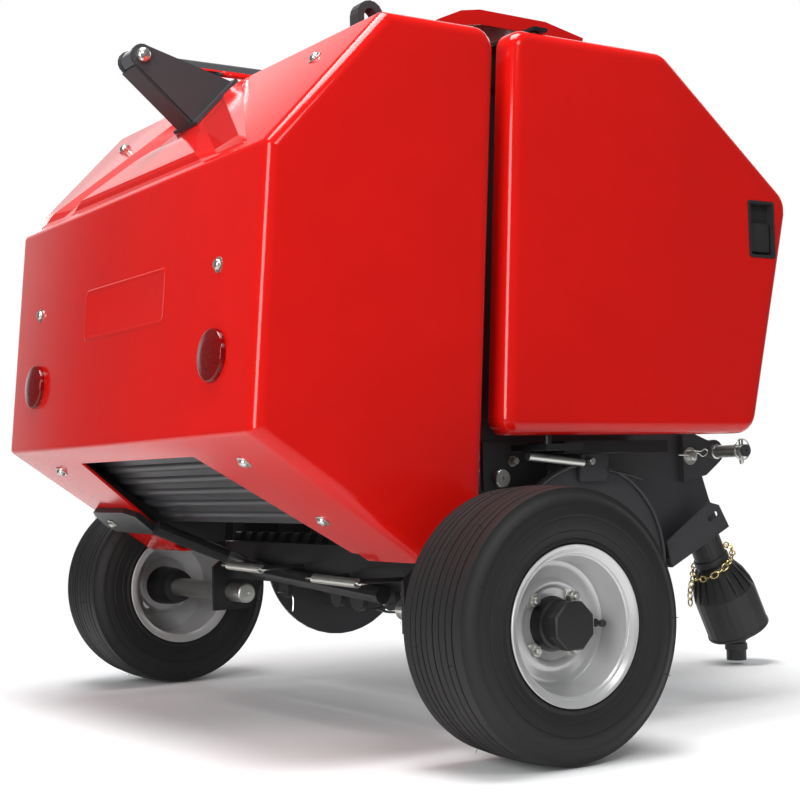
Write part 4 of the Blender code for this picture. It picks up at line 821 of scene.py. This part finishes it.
# ------------------------------------------------------------------ driveline
# A plastic tube guard flares through stiffening ribs into a bell over the universal
# joint; a plated chain keeps the guard from turning.
joint = at(0.0, 0.786, 0.600)
lean = math.radians(25.3)
shaft_run = np.array((0.0, math.sin(lean), -math.cos(lean)))
shaft_over = np.array((0.0, math.cos(lean), math.sin(lean)))
shaft_side = np.array((1.0, 0.0, 0.0))
bell_start, bell_end = 0.486, 0.584
for number in range(18):
    angle = 2 * math.pi * number / 18
    out = math.cos(angle) * shaft_side + math.sin(angle) * shaft_over
    across = np.cross(shaft_run, out)
    rings = []
    for along, radius in ((bell_start - 0.060, 0.0395), (bell_start - 0.030, 0.0565), (bell_start - 0.004, 0.0645),
                          (bell_start + 0.004, 0.0655)):
        centre = np.array(joint) + along * shaft_run
        rings.append(np.array([centre + out * (radius - 0.012) + across * 0.0012, centre + out * radius + across * 0.0012,
                               centre + out * radius - across * 0.0012, centre + out * (radius - 0.012) - across * 0.0012]))
    dress(stacked("guard_rib_%d" % number, rings, smooth=False), "driveline", "black_plastic")
for name, along, radius, width in (("guard_collar", bell_start - 0.078, 0.0375, 0.012), ("bell_rim", bell_end - 0.006, 0.0672, 0.0055)):
    ring = [(0.0, radius - 0.0030), (0.0, radius - 0.0008), (0.0008, radius), (width - 0.0008, radius), (width, radius - 0.0008),
            (width, radius - 0.0030)]
    place = np.array(joint) + along * shaft_run
    count = 64
    angle = np.linspace(0, 2 * math.pi, count, endpoint=False)
    points = np.array([place + a * shaft_run + r * (math.cos(t) * shaft_side + math.sin(t) * shaft_over)
                       for t in angle for a, r in ring])
    index = np.arange(count * len(ring)).reshape(count, len(ring))
    faces = np.stack((index, np.roll(index, -1, axis=1), np.roll(np.roll(index, -1, axis=0), -1, axis=1),
                      np.roll(index, -1, axis=0)), axis=2).reshape(-1, 4)
    dress(mesh_object(name, points, faces), "driveline", "black_plastic")
# yoke: a grooved end with its locking collar
tip = np.array(joint) + (bell_end - 0.021) * shaft_run
for name, profile in (("yoke_collar", ((0.030, 0.0215), (0.031, 0.0250), (0.040, 0.0250), (0.041, 0.0215))),
                      ("yoke_flare", ((0.046, 0.0215), (0.048, 0.0235), (0.0600, 0.0240), (0.0620, 0.0215)))):
    dress(lathe(name, profile, tip, (0, 0, -1), 36), "driveline", "cast_iron")

chain_gold = finish("chain_gold", (0.78, 0.64, 0.30), 0.26, metallic=0.9)


def chain(name, route, count, body):
    """Oval wire links along a route, each turned a quarter about the run from the last."""
    route = np.asarray(route)
    step = np.linspace(0, len(route) - 1, count + 1)
    for number in range(count):
        first, last = (np.array([np.interp(step[number + k], np.arange(len(route)), route[:, axis])
                                 for axis in range(3)]) for k in (0, 1))
        run = last - first
        length = np.linalg.norm(run)
        run /= length
        one = np.cross(run, (0.0, 0.0, 1.0) if abs(run[2]) < 0.9 else (1.0, 0.0, 0.0))
        one /= np.linalg.norm(one)
        two = np.cross(run, one)
        over = one if number % 2 else two
        angle = np.linspace(0, 2 * math.pi, 16, endpoint=False)
        oval = (first + last) / 2 + np.outer(np.cos(angle) * (length / 2 + 0.0022), run) + np.outer(np.sin(angle) * 0.0058, over)
        dress(tube("%s_%d" % (name, number), oval, 0.0016, 6, cyclic=True), body, "zinc", material=chain_gold)


collar_place = np.array(joint) + (bell_start - 0.075) * shaft_run
angle = np.linspace(math.radians(-120), math.radians(235), 50)
around_guard = np.array([collar_place + shaft_run * (0.010 - 0.016 * math.sin(t)) + 0.0480 * (math.cos(t) * shaft_side
                         + math.sin(t) * shaft_over) for t in angle])
chain("guard_chain", around_guard, 22, "driveline")
loose_end = around_guard[-1]
chain("guard_chain_end", [loose_end, loose_end + np.array((-0.006, -0.006, -0.030)),
                          loose_end + np.array((-0.004, -0.008, -0.062))], 5, "driveline")

# ------------------------------------------------------------------ gearbox, drive case, pickup discs
# Cast gearbox with a bolted seal flange, cooling fins and a breather; a pressed cover
# over the chain drive, and pressed discs with hub caps at the ends of the pickup.
small_bolt = ((0.0, 0.0068), (0.0012, 0.0068), (0.0014, 0.0052), (0.0048, 0.0050), (0.0056, 0.0040))
dress(lathe("seal_flange", ((0.0, 0.0500), (0.0050, 0.0500), (0.0062, 0.0488), (0.0065, 0.0370), (0.0105, 0.0320),
                            (0.0125, 0.0240), (0.0128, 0.0176)), at(0.0, 0.7303, 0.600), (0, 1, 0), 48),
      "frame", "cast_iron")
for number in range(6):
    turn = math.radians(30 + 60 * number)
    dress(lathe("flange_bolt_%d" % number, small_bolt,
                at(0.0430 * math.cos(turn), 0.7366, 0.600 + 0.0430 * math.sin(turn)), (0, 1, 0), 6), "frame", "zinc")
for label, side in (("right", 1.0), ("left", -1.0)):
    for number, z in enumerate(np.linspace(0.530, 0.680, 6)):
        fin = soft_outline(((0.602, z - 0.0030, 0.001), (0.720, z - 0.0030, 0.001), (0.720, z + 0.0030, 0.001),
                            (0.602, z + 0.0030, 0.001)), 3)
        low, high = sorted((side * 0.0852, side * 0.0905))
        dress(stacked("cooling_fin_%s_%d" % (label, number), [ring_at(fin, low), ring_at(fin, high)]), "frame", "cast_iron")
dress(lathe("breather", ((0.0, 0.0110), (0.0050, 0.0110), (0.0052, 0.0070), (0.0120, 0.0070), (0.0140, 0.0095),
                         (0.0200, 0.0095), (0.0215, 0.0060)), at(0.040, 0.660, 0.7053), (0, 0, 1), 20), "frame", "zinc")
case_low, case_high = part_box("drive_case")
case_face = case_high[0] + 0.0003
for number, (y, z) in enumerate(((0.222, 0.582), (0.222, 0.878), (0.335, 0.880), (0.448, 0.862), (0.496, 0.582), (0.360, 0.580))):
    dress(lathe("case_bolt_%d" % number, small_bolt, at(case_face, y, z), (1, 0, 0), 6), "frame", "zinc")
for number, inset in enumerate((0.046, 0.078)):
    swage = soft_outline(((0.200 + inset, 0.560 + inset, 0.02), (0.508 - inset, 0.560 + inset, 0.02),
                          (0.466 - inset, 0.900 - inset, 0.03), (0.200 + inset, 0.900 - inset, 0.03)))
    middle_yz = swage.mean(axis=0)
    rings = [ring_at(middle_yz + (swage - middle_yz) * grow, case_face + rise)
             for rise, grow in ((0.0, 1.02), (0.0028, 1.0), (0.0028, 0.96 - 0.02 * number), (0.0002, 0.94 - 0.02 * number))]
    dress(stacked("case_swage_%d" % number, rings), "frame", "dark_paint")
for label, side in (("right", 1.0), ("left", -1.0)):
    disc_low, disc_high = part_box("pickup_side_" + label)
    disc_face = side * (max(abs(disc_low[0]), abs(disc_high[0])) + 0.0003)
    dress(lathe("disc_hub_" + label, ((0.0, 0.0560), (0.0022, 0.0550), (0.0030, 0.0420), (0.0030, 0.0300), (0.0110, 0.0280),
                                      (0.0135, 0.0240), (0.0145, 0.0080)), at(disc_face, 0.285, 0.262), (side, 0, 0), 48),
          "frame", "dark_paint")
    for number in range(4):
        turn = math.radians(45 + 90 * number)
        dress(lathe("disc_bolt_%s_%d" % (label, number), small_bolt,
                    at(disc_face + side * 0.0032, 0.285 + 0.0360 * math.cos(turn), 0.262 + 0.0360 * math.sin(turn)),
                    (side, 0, 0), 6), "frame", "zinc")
    rolled = [np.array(at(disc_face + side * 0.0030, 0.285 + 0.1660 * math.cos(a), 0.262 + 0.1660 * math.sin(a)))
              for a in np.linspace(0, 2 * math.pi, 96, endpoint=False)]
    dress(tube("disc_edge_" + label, rolled, 0.0028, 8, cyclic=True), "frame", "dark_paint")

# ------------------------------------------------------------------ universal joint
# A forged fork on the gearbox's shaft holds the cross that the driveline swings on.
dress(lathe("input_yoke", ((0.0, 0.0178), (0.0, 0.0255), (0.0090, 0.0265), (0.0140, 0.0312), (0.0180, 0.0312),
                           (0.0186, 0.0040)), at(0.0, 0.7445, 0.600), (0, 1, 0), 40), "frame", "cast_iron")
ear = soft_outline(((0.757, 0.582, 0.002), (0.788, 0.582, 0.012), (0.804, 0.592, 0.008), (0.804, 0.608, 0.008),
                    (0.788, 0.618, 0.012), (0.757, 0.618, 0.002)))
for label, side in (("right", 1.0), ("left", -1.0)):
    low, high = sorted((side * 0.0245, side * 0.0312))
    dress(stacked("yoke_ear_" + label, [ring_at(ear, low), ring_at(ear, high)]), "frame", "cast_iron")
dress(lathe("joint_cross", ((0.0, 0.0100), (0.0008, 0.0112), (0.0022, 0.0112), (0.0024, 0.0085), (0.0250, 0.0085),
                            (0.0260, 0.0120), (0.0400, 0.0120), (0.0410, 0.0085), (0.0636, 0.0085), (0.0638, 0.0112),
                            (0.0652, 0.0112), (0.0660, 0.0100)), at(-0.0330, 0.786, 0.600), (1, 0, 0), 28),
      "driveline", "zinc")
